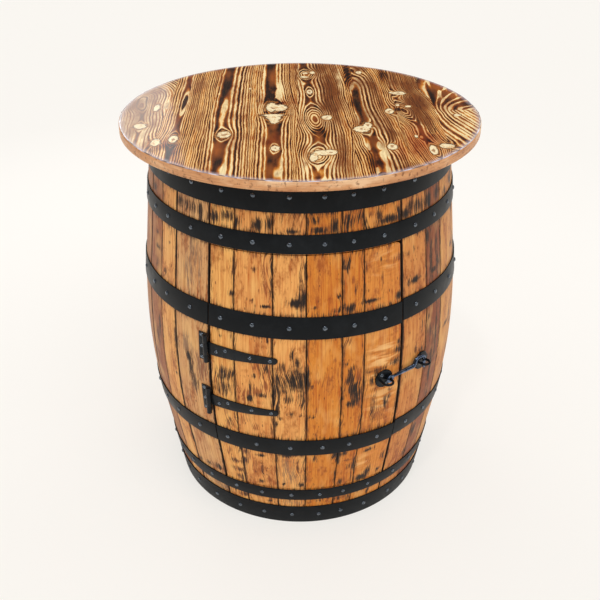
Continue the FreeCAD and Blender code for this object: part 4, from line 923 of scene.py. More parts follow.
@dataclass
class StaveBuilder:
    """Cuts staves: closed shells with eased edges, slightly uneven, carrying their grain and stains."""

    finishes: Finishes
    thickness: float = 27 * MM
    arris: float = 1.7 * MM
    arris_steps: int = 4
    inner_steps: int = 6
    end_ease: float = 1.2 * MM
    cell_across: float = 4.6 * MM
    cell_along: float = 5.2 * MM
    sink: float = 0.45 * MM
    edge_wander: float = 0.35 * MM
    singed_edge: float = 10 * MM
    edge_relief: float = 0.45
    inner_edge: float = 0.3
    hoop_soot_and_shade: float = 0.36
    hoop_soot_and_shade_reach: float = 7 * MM
    mark_margin: float = 4.0
    croze_depth: float = 5 * MM
    croze_width: float = 18.6 * MM
    top_croze: float = 837.7 * MM
    bottom_croze: float = 41.7 * MM

    def levels(self, stave: Stave) -> list[tuple[float, float, float]]:
        """Heights of the stave's rings of points.

        Args:
            stave: The stave.

        Returns:
            Tuples of height, how far the face is eased back there, and the depth of the inner groove.
        """
        body = stave.high - stave.low - 2 * self.end_ease
        count = max(4, round(body / self.cell_along))
        heights = [stave.low + self.end_ease + body * step / count for step in range(count + 1)]
        found = [(stave.low, self.end_ease, 0.0),
                 (stave.low + 0.3 * self.end_ease, 0.45 * self.end_ease, 0.0)]
        found += [(height, 0.0, 0.0) for height in heights]
        found += [(stave.high - 0.3 * self.end_ease, 0.45 * self.end_ease, 0.0),
                  (stave.high, self.end_ease, 0.0)]
        for wanted, low in ((stave.low_groove, self.bottom_croze), (stave.high_groove, self.top_croze)):
            if wanted:
                high = low + self.croze_width
                found = [entry for entry in found if not low - MM < entry[0] < high + MM]
                found += [(low, 0.0, 0.0), (low, 0.0, self.croze_depth), (high, 0.0, self.croze_depth),
                          (high, 0.0, 0.0)]
        rising = (self.bottom_croze, self.top_croze)
        return sorted(found, key=lambda entry: (entry[0], entry[2] if entry[0] in rising else -entry[2]))

    def section(self, width: float, rounding_and_shade: tuple[float, float]) -> list[tuple[float, float]]:
        """Round trip of the stave's cross-section.

        Args:
            width: The stave's width on the face.
            rounding_and_shade: How much wider than usual the first and the last edge are rounded.

        Returns:
            Points as distance across from the first seam, and depth below the face; -1 marks the inside.
        """
        ends = [self.arris * share for share in rounding_and_shade]
        flat = width - sum(ends)
        count = max(3, round(flat / self.cell_across))
        face = [(ends[0] + flat * step / count, 0.0) for step in range(count + 1)]
        turn = [math.pi / 2 * step / self.arris_steps for step in range(self.arris_steps)]
        first = [(ends[0] * (1 - math.cos(angle)), ends[0] * (1 - math.sin(angle))) for angle in turn]
        last = [(width - ends[1] * (1 - math.cos(angle)), ends[1] * (1 - math.sin(angle)))
                for angle in reversed(turn)]
        inner = [width * step / self.inner_steps for step in range(self.inner_steps + 1)]
        return first + face + last + [(across, -1.0) for across in reversed(inner)]

    def stains(self, azimuth: float, height: float, near: Sequence[Mark]) -> Colour:
        """How much stain there is at a spot.

        Args:
            azimuth: The spot's azimuth in degrees.
            height: Its height.
            near: The marks that may reach it.

        Returns:
            The amounts of soot, rust, ash and figure.
        """
        # Along the hoops' edges the soot is partly painted shade.
        to_hoop = min(max(low - height, height - high) for low, high in HOOP_BANDS)
        sums = [self.hoop_soot_and_shade * math.exp(-max(0.0, to_hoop) / self.hoop_soot_and_shade_reach), 0.0, 0.0, 0.0]
        radius = SIDE.radius(height)
        for mark in near:
            along = height - mark.height * MM
            if abs(along) > mark.length * MM:
                continue
            across = (azimuth - mark.azimuth) * DEGREE * radius
            share = bell(across, along, mark.width * MM / 2, mark.length * MM / 2)
            for index, amount in enumerate((mark.soot, mark.rust, mark.ash, mark.figure)):
                sums[index] = max(sums[index], amount * share)
        return (sums[0], sums[1], sums[2], sums[3])

    def build(self, stave: Stave, marks: Sequence[Mark]) -> bpy.types.Object:
        """Build one stave.

        Args:
            stave: What to build.
            marks: Stains anywhere on the barrel.

        Returns:
            The stave's object.
        """
        dice = random.Random(stave.seed)
        shift = Vector((dice.uniform(0, 5), dice.uniform(0, 5), dice.uniform(0, 5)))
        sink = dice.uniform(0.1, 1.0) * self.sink
        width = (stave.end - stave.start) * DEGREE * SIDE.bilge_radius
        low, high = stave.start - self.mark_margin, stave.end + self.mark_margin
        near = [mark for mark in marks if low < mark.azimuth < high]
        section = self.section(width, stave.rounding_and_shade)
        tone = colour(stave.tone)
        points, grain, tones, stains, edges = [], [], [], [], []
        for height, ease, groove in self.levels(stave):
            for across, depth in section:
                share = across / width
                azimuth = stave.start + (stave.end - stave.start) * share
                from_edge = min(across, width - across)
                place_height = height
                if stave.round_corner and height > stave.high - stave.round_corner:
                    place_height = self.corner_drop(stave, width - across, height)
                if depth < 0:
                    offset = -self.thickness + min(ease, 0.4 * MM) + groove
                else:
                    wave = noise.noise(Vector((across * 30, height * 9, stave.seed * 3.7)))
                    offset = -depth - ease - sink * (1 + 0.6 * wave)
                    if from_edge < 2 * self.arris:
                        wander = noise.noise(Vector((stave.seed * 5.1 + (share > 0.5), height * 22, 0)))
                        pull = self.edge_wander * (1 + wander) * (1 - from_edge / (2 * self.arris))
                        azimuth += (pull if share < 0.5 else -pull) / SIDE.bilge_radius / DEGREE
                points.append(SIDE.spot(azimuth, place_height, offset))
                grain += [across + shift.x, height + shift.y, depth + shift.z]
                tones += [tone[0], tone[1], tone[2], stave.speckle]
                stains += self.stains(azimuth, height, near) if depth >= 0 else (0.0, 0.0, 0.0, 0.0)
                # Edges rounded wider beside the door's sawn gaps are darkened as painted shade of the gaps;
                # beside four fixed joints the same darkening gives dark joints.
                joint_dark_and_gap_shade = stave.rounding_and_shade[0] if share < 0.5 else stave.rounding_and_shade[1]
                singe_and_gap_shade = max(0.0, 1 - from_edge / self.singed_edge)
                singe_and_gap_shade += min(depth, MM) / MM * (joint_dark_and_gap_shade - self.edge_relief)
                edges.append(singe_and_gap_shade if depth >= 0 else self.inner_edge)
        piece = gather(points, tube(len(points) // len(section), len(section)), stave.name)
        store(piece, "grain", "FLOAT_VECTOR", grain)
        store(piece, "tone", "FLOAT_COLOR", tones)
        store(piece, "marks", "FLOAT_COLOR", stains)
        store(piece, "edge", "FLOAT", edges)
        tidy(piece)
        piece.data.materials.append(self.finishes.stave)
        return piece

    def corner_drop(self, stave: Stave, to_edge: float, height: float) -> float:
        """Height of a point after the stave's last upper corner is sawn round.

        Args:
            stave: The stave.
            to_edge: Distance from the rounded edge.
            height: The point's height before.

        Returns:
            Its height after.
        """
        radius = stave.round_corner
        inward = max(0.0, radius - to_edge)
        top = stave.high - radius + math.sqrt(max(0.0, radius ** 2 - inward ** 2))
        start = stave.high - radius
        return start + (height - start) * (top - start) / radius


@dataclass
class StaveRing:
    """All the staves: the fixed ones, the door's, and the stubs above and below the door."""

    finishes: Finishes
    hinge_side: float = -31.8
    latch_side: float = 36.5
    door_low: float = 119.5 * MM
    door_high: float = 727 * MM
    sill: float = 118 * MM
    lintel: float = 728.5 * MM
    door_corner: float = 12 * MM
    kerf_half: float = 1.5 * MM
    joint_half: float = 0.15 * MM
    door_seed: int = 40
    far_seed: int = 7
    far_count: int = 150
    far_arc: tuple[float, float] = (62, 296)
    far_heights: tuple[float, float] = (60, 820)
    far_widths: tuple[float, float] = (6, 30)
    far_lengths: tuple[float, ...] = (8, 12, 20, 34, 60)
    door_shares: tuple[float, ...] = (9.5, 13.3, 11.1, 11.9, 7.7, 14.8)
    frame_shares: tuple[float, ...] = (12.5, 10, 15, 11.4, 13.6, 10.5, 15.1, 12.3, 13.8, 11.1, 14, 12.9,
                                       10.8, 14, 13.2, 11.7, 13.4, 12.2, 14.1, 14.1, 10.5, 9.5, 16)
    door_tones: tuple[str, ...] = ("EDB162", "E7A55B", "EBAB60", "D6862E", "D2822D", "DB8E3B")
    door_speckle: tuple[float, ...] = (0.12, 0.42, 0.16, 0.24, 0.26, 0.16)
    # Fixed staves from the latch side round to the hinge side.
    frame_tones: tuple[str, ...] = ("D38E48", "93522B", "D2944C", "DDA05E", "B5794A", "E2A862", "D59552",
                                    "E8B06A", "C98A4E", "DFA15A", "E6AB62", "B87B49", "E0A25A", "D2955A",
                                    "EAB36E", "CB8B50", "E1A35C", "DB9C58", "C68A56", "B07647", "A86A3C",
                                    "EAAE64", "D8A66E")

    def seams(self, shares: Sequence[float], start: float, end: float) -> list[float]:
        """Azimuths of the seams between staves that fill an arc.

        Args:
            shares: The staves' relative widths.
            start: Azimuth of the arc's start.
            end: Azimuth of its end.

        Returns:
            One azimuth more than there are staves.
        """
        step = (end - start) / sum(shares)
        found = [start]
        for share in shares:
            found.append(found[-1] + share * step)
        return found

    def plan(self) -> list[Stave]:
        """List every stave with its place and its wood.

        Returns:
            The fixed staves, then each door stave with its two stubs.
        """
        trim = self.kerf_half / SIDE.bilge_radius / DEGREE
        joint = self.joint_half / SIDE.bilge_radius / DEGREE
        staves = []
        marks = self.seams(self.frame_shares, self.latch_side, self.hinge_side + 360)
        last = len(self.frame_shares) - 1
        for index, (start, end) in enumerate(zip(marks, marks[1:])):
            name = f"frame_stave_{index + 1:02d}"
            turn = 360.0 if (start + end) / 2 > 180 else 0.0
            # Edges beside the door's sawn gaps are rounded wider and darkened as painted shade of the gaps;
            # the four edges set below are dark joints.
            rounding_and_shade = (2.0 if index == 0 else 1.0, 1.8 if index == last else 1.0)
            if index in (last - 3, last - 1):
                rounding_and_shade = (1.0, 2.0)
            elif index in (last - 2, last):
                rounding_and_shade = (2.0, rounding_and_shade[1])
            staves.append(Stave(f"{name}_oak", (name,), "cabinet",
                                start + (trim if index == 0 else joint) - turn,
                                end - (trim if index == last else joint) - turn, 0.0, SIDE.height,
                                self.frame_tones[index], 0.2 + 0.1 * (index % 3), index, low_groove=True,
                                high_groove=True, rounding_and_shade=rounding_and_shade))
        marks = self.seams(self.door_shares, self.hinge_side, self.latch_side)
        last = len(self.door_shares) - 1
        for index, (start, end) in enumerate(zip(marks, marks[1:])):
            tone, speckle = self.door_tones[index], self.door_speckle[index]
            name = f"door_stave_{index + 1:02d}"
            # The door's outer edges are rounded wider and darkened as painted shade of the sawn gaps.
            staves.append(Stave(f"{name}_oak", (name,), "door", start + (trim if index == 0 else joint),
                                end - (trim if index == last else joint), self.door_low, self.door_high,
                                tone, speckle, self.door_seed + index,
                                round_corner=self.door_corner if index == last else 0.0,
                                rounding_and_shade=(1.6 if index == 0 else 1.0, 1.8 if index == last else 1.0)))
            for place, node, low, high in (("below", "lower_stub_staves", 0.0, self.sill),
                                           ("above", "upper_stub_staves", self.lintel, SIDE.height)):
                staves.append(Stave(f"stub_{place}_door_{index + 1}_oak", (node,), "cabinet",
                                    start + joint, end - joint, low, high, tone, speckle,
                                    self.door_seed + index, low_groove=place == "below",
                                    high_groove=place == "above"))
        return staves

    def far_marks(self) -> list[Mark]:
        """Stains on the sides and the back, scattered as on the front.

        Returns:
            The marks.
        """
        dice = random.Random(self.far_seed)
        found = []
        for _ in range(self.far_count):
            kind = dice.random()
            azimuth = dice.uniform(*self.far_arc)
            azimuth -= 360 if azimuth > 180 else 0
            tall = dice.choice(self.far_lengths)
            found.append(Mark(azimuth, dice.uniform(*self.far_heights), dice.uniform(*self.far_widths),
                              tall * dice.uniform(0.7, 1.4),
                              soot=dice.uniform(0.5, 1.15) if kind < 0.6 else 0.0,
                              rust=dice.uniform(0.5, 1.0) if kind > 0.45 else 0.0,
                              ash=dice.uniform(0.3, 0.8) if kind > 0.9 else 0.0))
        return found

    def build(self) -> None:
        """Build and place every stave."""
        builder = StaveBuilder(self.finishes)
        marks = list(MARKS) + self.far_marks()
        for stave in self.plan():
            settle(builder.build(stave, marks), stave.body, stave.nodes)


# --- The round top -----------------------------------------------------------------------------

class TopMark(Enum):
    """What a mark on the top is."""

    KNOT = 0
    GLOW = 1
    FLAME = 2
    SMOKE = 3


@dataclass(frozen=True)
class Board:
    """One board of the top, in millimetres: its seams, its heart line and its rings.

    The rings lie left and right of the heart line at the listed distances, and past the last one
    they go on at an even spacing. A fan spreads them to the right, the more the further back.
    """

    left: float
    right: float
    spine: tuple[tuple[float, float], ...]
    lefts: tuple[float, ...]
    rights: tuple[float, ...]
    fine: float = 4.0
    stretch: float = 0.3
    wobble: float = 2.5
    fan: float = 0.0


BOARDS = (
    Board(-385, -288, ((-345, 90), (-330, -90), (-310, -400)), (8, 14, 20, 26), (8, 14, 20, 26),
          6.5, 0.5, 6),
    Board(-288, -190, ((-264, 420), (-262, 150), (-255, 0), (-252, -120), (-252, -220), (-246, -400)),
          (9, 15, 20, 24.5), (9, 14, 18, 22), 4.4),
    Board(-190, -92, ((-168, 420), (-170, 200), (-166, 0), (-157, -150), (-153, -300), (-149, -420)),
          (16, 22, 28), (15, 25, 34, 41, 47, 52, 57), 4.8),
    Board(-92, -6, ((-73, 420), (-72, 190), (-62, 70), (-57, -30), (-54, -90), (-52, -250), (-49, -420)),
          (16, 24, 30, 35), (17, 25, 31, 36, 40.5), 4.5),
    Board(-6, 106, ((6, 420), (10, 300), (22, 150), (22, 60), (31, -45), (38, -140), (32, -250), (34, -420)),
          (12, 20, 27, 33), (12, 21, 29, 36, 42), 5.0),
    Board(106, 208, ((126, 152), (129, 0), (136, -100), (148, -230), (154, -420)),
          (11, 16, 20.5), (12, 21, 29, 36, 42, 47), 4.5, 0.2),
    Board(208, 292, ((205, 420), (207, 195), (208, 95), (216, 60), (243, -71), (248, -150), (264, -250),
                     (290, -400)), (8, 13, 17.5), (8, 13, 18), 4.0),
    Board(292, 385, ((268, 420), (268, 266), (272, 187), (278, 75), (284, 10), (290, -60), (302, -110),
                     (327, -171), (350, -230)), (6, 12), (7, 14, 21), 7.0, wobble=6.0, fan=0.0004),
)

# Knots and eyes bend the rings: x, y, half width, half length, and how many rings they hold.
PITS = (
    (-330, -92, 16, 24, 2.0), (-285, -190, 14, 34, 1.5), (-252, -168, 13, 34, 3.0), (-254, 70, 9, 90, 1.3),
    (-163, 0, 10, 120, 0.5), (-153, -143, 15, 32, 2.2), (-50, 8, 34, 56, 3.8), (-45, 130, 12, 70, 1.0),
    (-48, -220, 11, 28, 1.4), (32, -48, 26, 72, 5.2), (22, 140, 9, 32, 2.0), (20, 285, 24, 30, 3.2),
    (14, 255, 14, 14, 1.6), (57, -38, 11, 18, -1.8), (42, -250, 34, 44, 3.4), (57, -238, 12, 14, -1.5),
    (28, -272, 14, 20, 1.5), (130, -113, 20, 26, 2.4), (143, -96, 9, 22, -1.4), (143, 295, 11, 20, -1.4),
    (180, -210, 12, 22, -2.0), (197, -5, 14, 28, -2.4), (228, 125, 22, 22, 2.6), (222, 6, 24, 52, 4.4),
    (240, 30, 12, 12, -1.6), (240, -160, 6, 18, 1.0), (262, -235, 12, 36, 2.6), (290, -212, 22, 24, 2.0),
    (-360, 80, 22, 60, 2.4), (-350, 30, 20, 30, 1.6), (160, -200, 10, 30, 1.0), (126, -200, 8, 30, 0.8),
)

# The top's marks by kind: x, y, half width and half length in millimetres, and the amount.
TOP_MARKS = {
    TopMark.KNOT: (
        (-330, -92, 16, 18, 1), (-285, -188, 11, 24, 0.95), (-252, -168, 10, 22, 1.12),
        (-153, -143, 14, 20, 1.2), (-115, 165, 4, 9, 0.9), (-62, 30, 13, 36, 1), (-44, 26, 19, 26, 0.95),
        (-58, 24, 6, 8, -1.1), (-42, 56, 11, 6, -0.9), (-72, -2, 7, 6, -0.8), (-57, -10, 13, 4.5, -0.9),
        (-42, -5, 9, 5, -0.8), (-48, -220, 9, 15, 1.2), (22, 140, 7, 17, 1.2), (12, 290, 8, 9, 0.9),
        (30, 294, 8, 14, 0.9), (10, 258, 12, 9, 0.95), (57, -38, 11, 16, 1.2), (44, -243, 22, 15, 1),
        (26, -268, 9, 24, 1), (60, -240, 12, 14, 1.2), (126, -110, 17, 19, 1.15), (140, -88, 9, 19, 1.2),
        (143, 296, 9, 14, 0.9), (180, -210, 10, 17, 1.2), (193, 4, 10, 18, 1.2), (225, 130, 16, 13, 1.2),
        (207, 133, 7, 8, 0.85), (236, 36, 9, 8, 0.9), (214, 45, 6, 8, 0.85), (233, -152, 4, 11, 0.95),
        (258, -228, 8, 26, 1.25), (287, -205, 17, 15, 1), (335, -22, 9, 9, 0.9), (-312, 26, 9, 30, 0.8),
        (-57, -24, 30, 11, 0.9), (-55, -40, 20, 16, 0.95), (-54, -60, 12, 20, 0.9),
    ),
    TopMark.GLOW: (
        (-163, 0, 9, 90, 0.9), (-172, 265, 8, 40, 0.6), (-264, 150, 8, 110, 0.55), (-74, 290, 6, 60, 0.3),
        (-50, -130, 13, 30, 0.6), (-50, -215, 14, 50, 0.95), (-56, -330, 8, 40, 0.7), (31, -46, 8, 26, 1),
        (24, 40, 8, 40, 0.4), (140, -20, 6, 60, 0.95), (108, 90, 6, 40, 0.7), (148, -190, 14, 40, 0.6),
        (247, -130, 7, 50, 0.9), (240, -40, 6, 40, 0.7), (345, 130, 12, 60, 0.9), (312, 90, 9, 60, 0.6),
        (355, 30, 14, 40, 0.6), (212, -200, 20, 110, 0.9), (358, -30, 24, 60, 0.8), (322, 200, 30, 80, 1),
        (352, 120, 22, 50, 0.9), (-54, -190, 18, 70, 1), (-54, -100, 9, 30, 0.8), (-160, -230, 12, 60, 0.8),
        (-158, 60, 9, 80, 1), (-66, 250, 9, 60, 0.8), (-258, -60, 6, 60, 0.8), (-262, 290, 7, 60, 0.8),
        (38, -170, 9, 40, 0.7),
    ),
    TopMark.FLAME: (
        (-72, -3, 6, 6, -0.7), (-56, -10, 14, 4, -0.8), (-40, -4, 9, 4, -0.7), (-48, 140, 7, 75, 0.75),
        (-251, 20, 4, 60, 0.5), (-262, 190, 8, 80, 0.25), (-146, -330, 9, 36, 0.9),
        (-45, -345, 7, 46, 0.85), (34, -330, 7, 40, 0.8), (42, -385, 16, 20, 0.8),
        (156, -250, 10, 40, 0.85), (152, -330, 14, 30, 0.5), (141, -160, 5, 34, 0.5),
        (134, -190, 5, 40, 0.5), (92, 260, 6, 90, 0.6), (123, 172, 5, 20, 0.5), (-84, 210, 6, 120, 0.35),
        (-160, 90, 6, 80, 0.25), (330, 90, 6, 60, 0.3), (12, 205, 8, 12, 0.5), (114, 300, 8, 110, -0.7),
        (122, 80, 9, 60, -0.5), (197, 270, 8, 70, -0.6), (-64, 80, 12, 30, -0.8), (-44, 60, 9, 7, -0.7),
        (42, -140, 14, 40, -0.5), (213, 15, 8, 10, -0.9), (-252, -205, 12, 16, -0.5),
        (-250, -135, 9, 14, -0.4), (-243, -235, 8, 20, -0.5), (150, -350, 8, 20, -0.6),
        (300, 150, 8, 110, -0.35), (322, 200, 9, 90, -0.35), (136, -290, 8, 60, -0.5),
        # The broad rows on the leftmost board, x -352 to -300, lighten its burn, partly as a painted sheen.
        (350, 20, 9, 20, 0.3), (362, -70, 9, 30, 0.3), (-345, 0, 50, 330, 0.2), (-352, -60, 30, 70, 0.4),
        (-322, -150, 18, 90, 0.4), (-300, 40, 10, 60, 0.4), (354, 120, 5, 34, 0.85),
        (318, 120, 4.5, 60, 0.85), (303, 200, 4, 56, 0.9), (337, 165, 4.5, 36, 0.9), (312, 262, 4, 26, 0.8),
        (345, -20, 18, 14, 0.35), (340, -120, 16, 50, 0.25), (-52, -150, 6, 36, 0.3),
        (-50, -290, 6, 30, 0.45), (30, -250, 12, 30, 0.5), (40, -310, 20, 12, 0.4), (8, -330, 5, 40, 0.4),
        (62, -330, 5, 50, 0.4),
    ),
    TopMark.SMOKE: (
        (150, 60, 44, 380, 0.36), (240, 0, 50, 330, 0.34), (-345, 60, 50, 330, 0.62),
        (-232, 180, 15, 150, 0.45), (-215, -60, 14, 110, 0.35), (-12, 240, 20, 150, 0.35),
        (44, 330, 36, 60, 0.75), (72, 150, 26, 210, 0.85), (72, -30, 20, 40, 0.5),
        (86, -230, 20, 120, 0.55), (66, -100, 14, 60, 0.5), (150, 330, 24, 60, 0.5),
        (168, 190, 13, 120, 0.75), (180, 60, 9, 90, 0.7), (186, -60, 14, 60, 0.45),
        (222, 260, 18, 80, 0.75), (252, 120, 24, 240, 0.75), (266, -60, 16, 130, 0.75),
        (212, -180, 24, 110, 0.5), (200, -310, 30, 60, 0.5), (296, -190, 14, 40, 0.5),
        (270, 250, 14, 80, 0.6), (244, -180, 42, 110, -0.85), (196, -230, 16, 90, -0.6),
        (240, -60, 16, 60, -0.5), (252, -20, 18, 60, 0.95), (262, 60, 20, 90, 0.95),
        (184, -140, 10, 60, 0.8), (62, 40, 24, 60, 0.9),
    ),
}


@dataclass
class RoundTop:
    """The round top: eight butted boards, sanded rim, and a lip along the upper edge with a painted
    highlight.
    """

    finishes: Finishes
    radius: float = 384.95 * MM
    low: float = 880 * MM
    high: float = 900 * MM
    upper_round: float = 4 * MM
    lower_round: float = 1.5 * MM
    joint: float = 0.1 * MM
    cell: float = 3.0 * MM
    crown: float = 0.5 * MM
    # The rings' shapes, in millimetres: how they drift and ripple, fan out, and widen around knots.
    drift_size: tuple[float, float] = (70, 120)
    ripple_size: tuple[float, float] = (16, 36)
    ripple: float = 0.9
    uneven: float = 2.2
    uneven_size: float = 9
    fan_start: float = 8
    fan_rings: float = 5
    fan_past: float = 0.4
    pit_spacing: float = 6.5
    rim_lines: tuple[float, ...] = (0.15 * MM, 0.5 * MM, 1.2 * MM, 2.2 * MM)
    eye_edge: float = 272
    eye_middle: float = 187
    eye_bow: float = 0.002

    def rings_at(self, board: Board, x: float, y: float) -> tuple[float, float]:
        """Ring count at a place on a board, in millimetres.

        Args:
            board: The board.
            x: Place across the boards.
            y: Place along the boards.

        Returns:
            The ring count, and the distance between rings there in metres.
        """
        wide, long = self.drift_size
        drift = board.wobble * noise.noise(Vector((x / wide, y / long, board.left)))
        wide, long = self.ripple_size
        ripple = self.ripple * noise.noise(Vector((x / wide, y / long, board.left + 9)))
        x += drift + ripple
        near = math.inf
        side = 1.0
        for (x0, y0), (x1, y1) in zip(board.spine, board.spine[1:]):
            run = Vector((x1 - x0, (y1 - y0) * board.stretch))
            here = Vector((x - x0, (y - y0) * board.stretch))
            share = max(0.0, min(1.0, here.dot(run) / run.length_squared))
            gap = (here - run * share).length
            if gap < near:
                near = gap
                side = (run.x * here.y - run.y * here.x) * (1 if y1 > y0 else -1)
        spread = board.fan * max(0.0, y - self.fan_start) ** 2
        widened = 0.0
        if spread > 0.01 and side < 0:
            step = board.fine
            turns = (math.sqrt(step ** 2 + 4 * spread * near) - step) / (2 * spread)
            widened = 2 * spread * turns
            near = step * min(turns, self.fan_rings + (turns - self.fan_rings) * self.fan_past)
        near += self.uneven * noise.noise(Vector((near / self.uneven_size, 0.3, board.left)))
        near = max(0.0, near)
        marks = (0.0,) + (board.lefts if side > 0 else board.rights)
        count, spacing = len(marks) - 1 + (near - marks[-1]) / board.fine, board.fine
        for index, (low, high) in enumerate(zip(marks, marks[1:])):
            if low <= near < high:
                share = (near - low) / (high - low)
                count = 0.5 + share / 2 if index == 0 else index + share
                spacing = (high - low) * (2 if index == 0 else 1)
                break
        for pit_x, pit_y, half_width, half_length, depth in PITS:
            if abs(x - pit_x) < 3 * half_width and abs(y - pit_y) < 3 * half_length:
                share = bell(x - pit_x, y - pit_y, half_width, half_length)
                count -= depth * share
                spacing += (self.pit_spacing - spacing) * min(1.0, 1.6 * share)
        return count, (spacing + widened) * MM

    def chars_at(self, x: float, y: float) -> list[float]:
        """How much the marks of the top weigh at a place.

        Args:
            x: Place across the boards, in millimetres.
            y: Place along the boards, in millimetres.

        Returns:
            The amounts of knot, glow, flame and smoke.
        """
        sums = [0.0, 0.0, 0.0, 0.0]
        for kind, rows in TOP_MARKS.items():
            for mark_x, mark_y, half_width, half_length, amount in rows:
                if abs(x - mark_x) < 2.5 * half_width and abs(y - mark_y) < 2.5 * half_length:
                    value = amount * bell(x - mark_x, y - mark_y, half_width, half_length)
                    if abs(value) > abs(sums[kind.value]):
                        sums[kind.value] = value
        return sums

    def column(self, x: float, rows: int) -> list[tuple[float, float, bool]]:
        """A round trip of points over one line across the disc.

        Args:
            x: Distance of the line from the middle.
            rows: How many steps the flat top takes.

        Returns:
            Tuples of y, z and whether the point is on the torched face.
        """
        def reach(radius: float) -> float:
            """Half the chord at a radius."""
            return math.sqrt(max(radius ** 2 - x ** 2, 0.0))

        inner = reach(self.radius - self.upper_round)
        trip = []
        for row in range(rows + 1):
            y = inner * (2 * row / rows - 1)
            out = math.hypot(x, y) / self.radius
            trip.append((y, self.high - self.crown * out ** 6, True))
        rim = []
        top = self.high - self.crown
        fall = self.upper_round - self.crown
        for step in range(1, 6):
            turn = math.pi / 2 * step / 5
            radius = self.radius - self.upper_round * (1 - math.sin(turn))
            rim.append((reach(radius), top - fall * (1 - math.cos(turn)), False))
        for step in range(0, 4):
            turn = math.pi / 2 * step / 3
            radius = self.radius - self.lower_round * (1 - math.cos(turn))
            rim.append((reach(radius), self.low + self.lower_round * (1 - math.sin(turn)), False))
        under = reach(self.radius - self.lower_round)
        floor = [(under * share, self.low, False) for share in (0.6, 0.2, -0.2, -0.6)]
        back = [(-y, z, flag) for y, z, flag in reversed(rim)]
        return trip + rim + floor + back

    def rings_of(self, index: int, x: float, y: float) -> Board:
        """The board whose rings show at a place; the last board's eye reaches over its seam."""
        edge = self.eye_edge + self.eye_bow * (y - self.eye_middle) ** 2
        return BOARDS[-1] if index == len(BOARDS) - 2 and x > edge and y > 0 else BOARDS[index]

    def board(self, index: int) -> bpy.types.Object:
        """Build one board.

        Args:
            index: Its number from the left.

        Returns:
            The board's object.
        """
        plan = BOARDS[index]
        left = max(plan.left * MM + self.joint, -self.radius + 0.02 * MM)
        right = min(plan.right * MM - self.joint, self.radius - 0.02 * MM)
        count = math.ceil((right - left) / self.cell)
        lines = [left + (right - left) * step / count for step in range(count + 1)]
        if plan.left * MM <= -self.radius:
            lines[1:1] = [left + gap for gap in self.rim_lines]
        if plan.right * MM >= self.radius:
            lines[-1:-1] = [right - gap for gap in reversed(self.rim_lines)]
        rows = round(2 * self.radius / self.cell)
        points, grain, rings, chars = [], [], [], []
        for x in lines:
            for y, z, torched in self.column(x, rows):
                points.append(Vector((x, y, z)))
                grain += [x + index * 0.9, y, z]
                if torched:
                    place = (x / MM, y / MM)
                    knot, glow, flame, smoke = self.chars_at(*place)
                    rings += [*self.rings_at(self.rings_of(index, *place), *place), smoke]
                    chars += [knot, glow, flame]
                else:
                    rings += [0.0, 0.0, 0.0]
                    chars += [0.0, 0.0, 0.0]
        size = len(points) // len(lines)
        kinds = [self.kind(step, rows, size) for _ in lines[1:] for step in range(size)] + [1, 1]
        piece = gather(points, tube(len(lines), size), f"tabletop_board_{index + 1}_pine")
        for name, values in (("grain", grain), ("rings", rings), ("char", chars)):
            store(piece, name, "FLOAT_VECTOR", values)
        for finish in (self.finishes.top, self.finishes.rim, self.finishes.lip):
            piece.data.materials.append(finish)
        piece.data.polygons.foreach_set("material_index", kinds)
        tidy(piece)
        return piece

    def kind(self, step: int, rows: int, size: int) -> int:
        """Which finish a face takes.

        Args:
            step: The face's number on the round trip.
            rows: How many faces lie on the flat top.
            size: How many faces the trip has.

        Returns:
            0 on the torched top, 1 on the rim and below, 2 on the lip.
        """
        if step < rows:
            return 0
        if step < rows + 2 or step >= size - 2:
            return 2
        return 1

    def build(self) -> None:
        """Build and place the boards."""
        for index in range(len(BOARDS)):
            settle(self.board(index), "cabinet", ["tabletop_boards"])


# --- Hoops -------------------------------------------------------------------------------------

SOCKETS = {bool: "NodeSocketBool", int: "NodeSocketInt", float: "NodeSocketFloat",
           type(None): "NodeSocketMaterial"}


class Grower(Nodes):
    """A geometry node group with named inputs, which makes pieces out of carrier meshes."""

    def __init__(self, name: str, inputs: dict[str, Any]) -> None:
        """Start the group.

        Args:
            name: The group's name.
            inputs: Default value of each input by name; an input without one takes a material.
        """
        super().__init__(bpy.data.node_groups.new(name, "GeometryNodeTree"))
        new_socket = self.tree.interface.new_socket
        new_socket("Geometry", in_out="INPUT", socket_type="NodeSocketGeometry")
        new_socket("Geometry", in_out="OUTPUT", socket_type="NodeSocketGeometry")
        self.names = {}
        for label, default in inputs.items():
            socket = new_socket(label, in_out="INPUT", socket_type=SOCKETS[type(default)])
            if default is not None:
                socket.default_value = default
            self.names[label] = socket.identifier
        given = self.add("NodeGroupInput").node
        self.carried = given.outputs["Geometry"]
        self.sockets = {label: given.outputs[label] for label in inputs}

    def close(self, geometry: Socket) -> None:
        """End the group: one plain mesh, in its finish.

        Args:
            geometry: What the group has made.
        """
        single = self.add("GeometryNodeRealizeInstances", {"Geometry": geometry})
        painted = self.add("GeometryNodeSetMaterial",
                           {"Geometry": single, "Material": self.sockets["Finish"]})
        self.add("NodeGroupOutput", {"Geometry": painted})

    def grow(self, carrier: bpy.types.Object, values: dict[str, Any], name: str) -> bpy.types.Object:
        """Run the group and keep the result as a plain mesh.

        Args:
            carrier: The object whose mesh goes in; it is removed after.
            values: A value for each input by name.
            name: The new object's name.

        Returns:
            The new mesh object.
        """
        modifier = carrier.modifiers.new("grow", "NODES")
        modifier.node_group = self.tree
        for label, value in values.items():
            modifier[self.names[label]] = value
        depsgraph = bpy.context.evaluated_depsgraph_get()
        mesh = bpy.data.meshes.new_from_object(carrier.evaluated_get(depsgraph), depsgraph=depsgraph)
        mesh.name = name
        made = show(name, mesh)
        carrier.modifiers.remove(modifier)
        bpy.data.objects.remove(carrier)
        return made


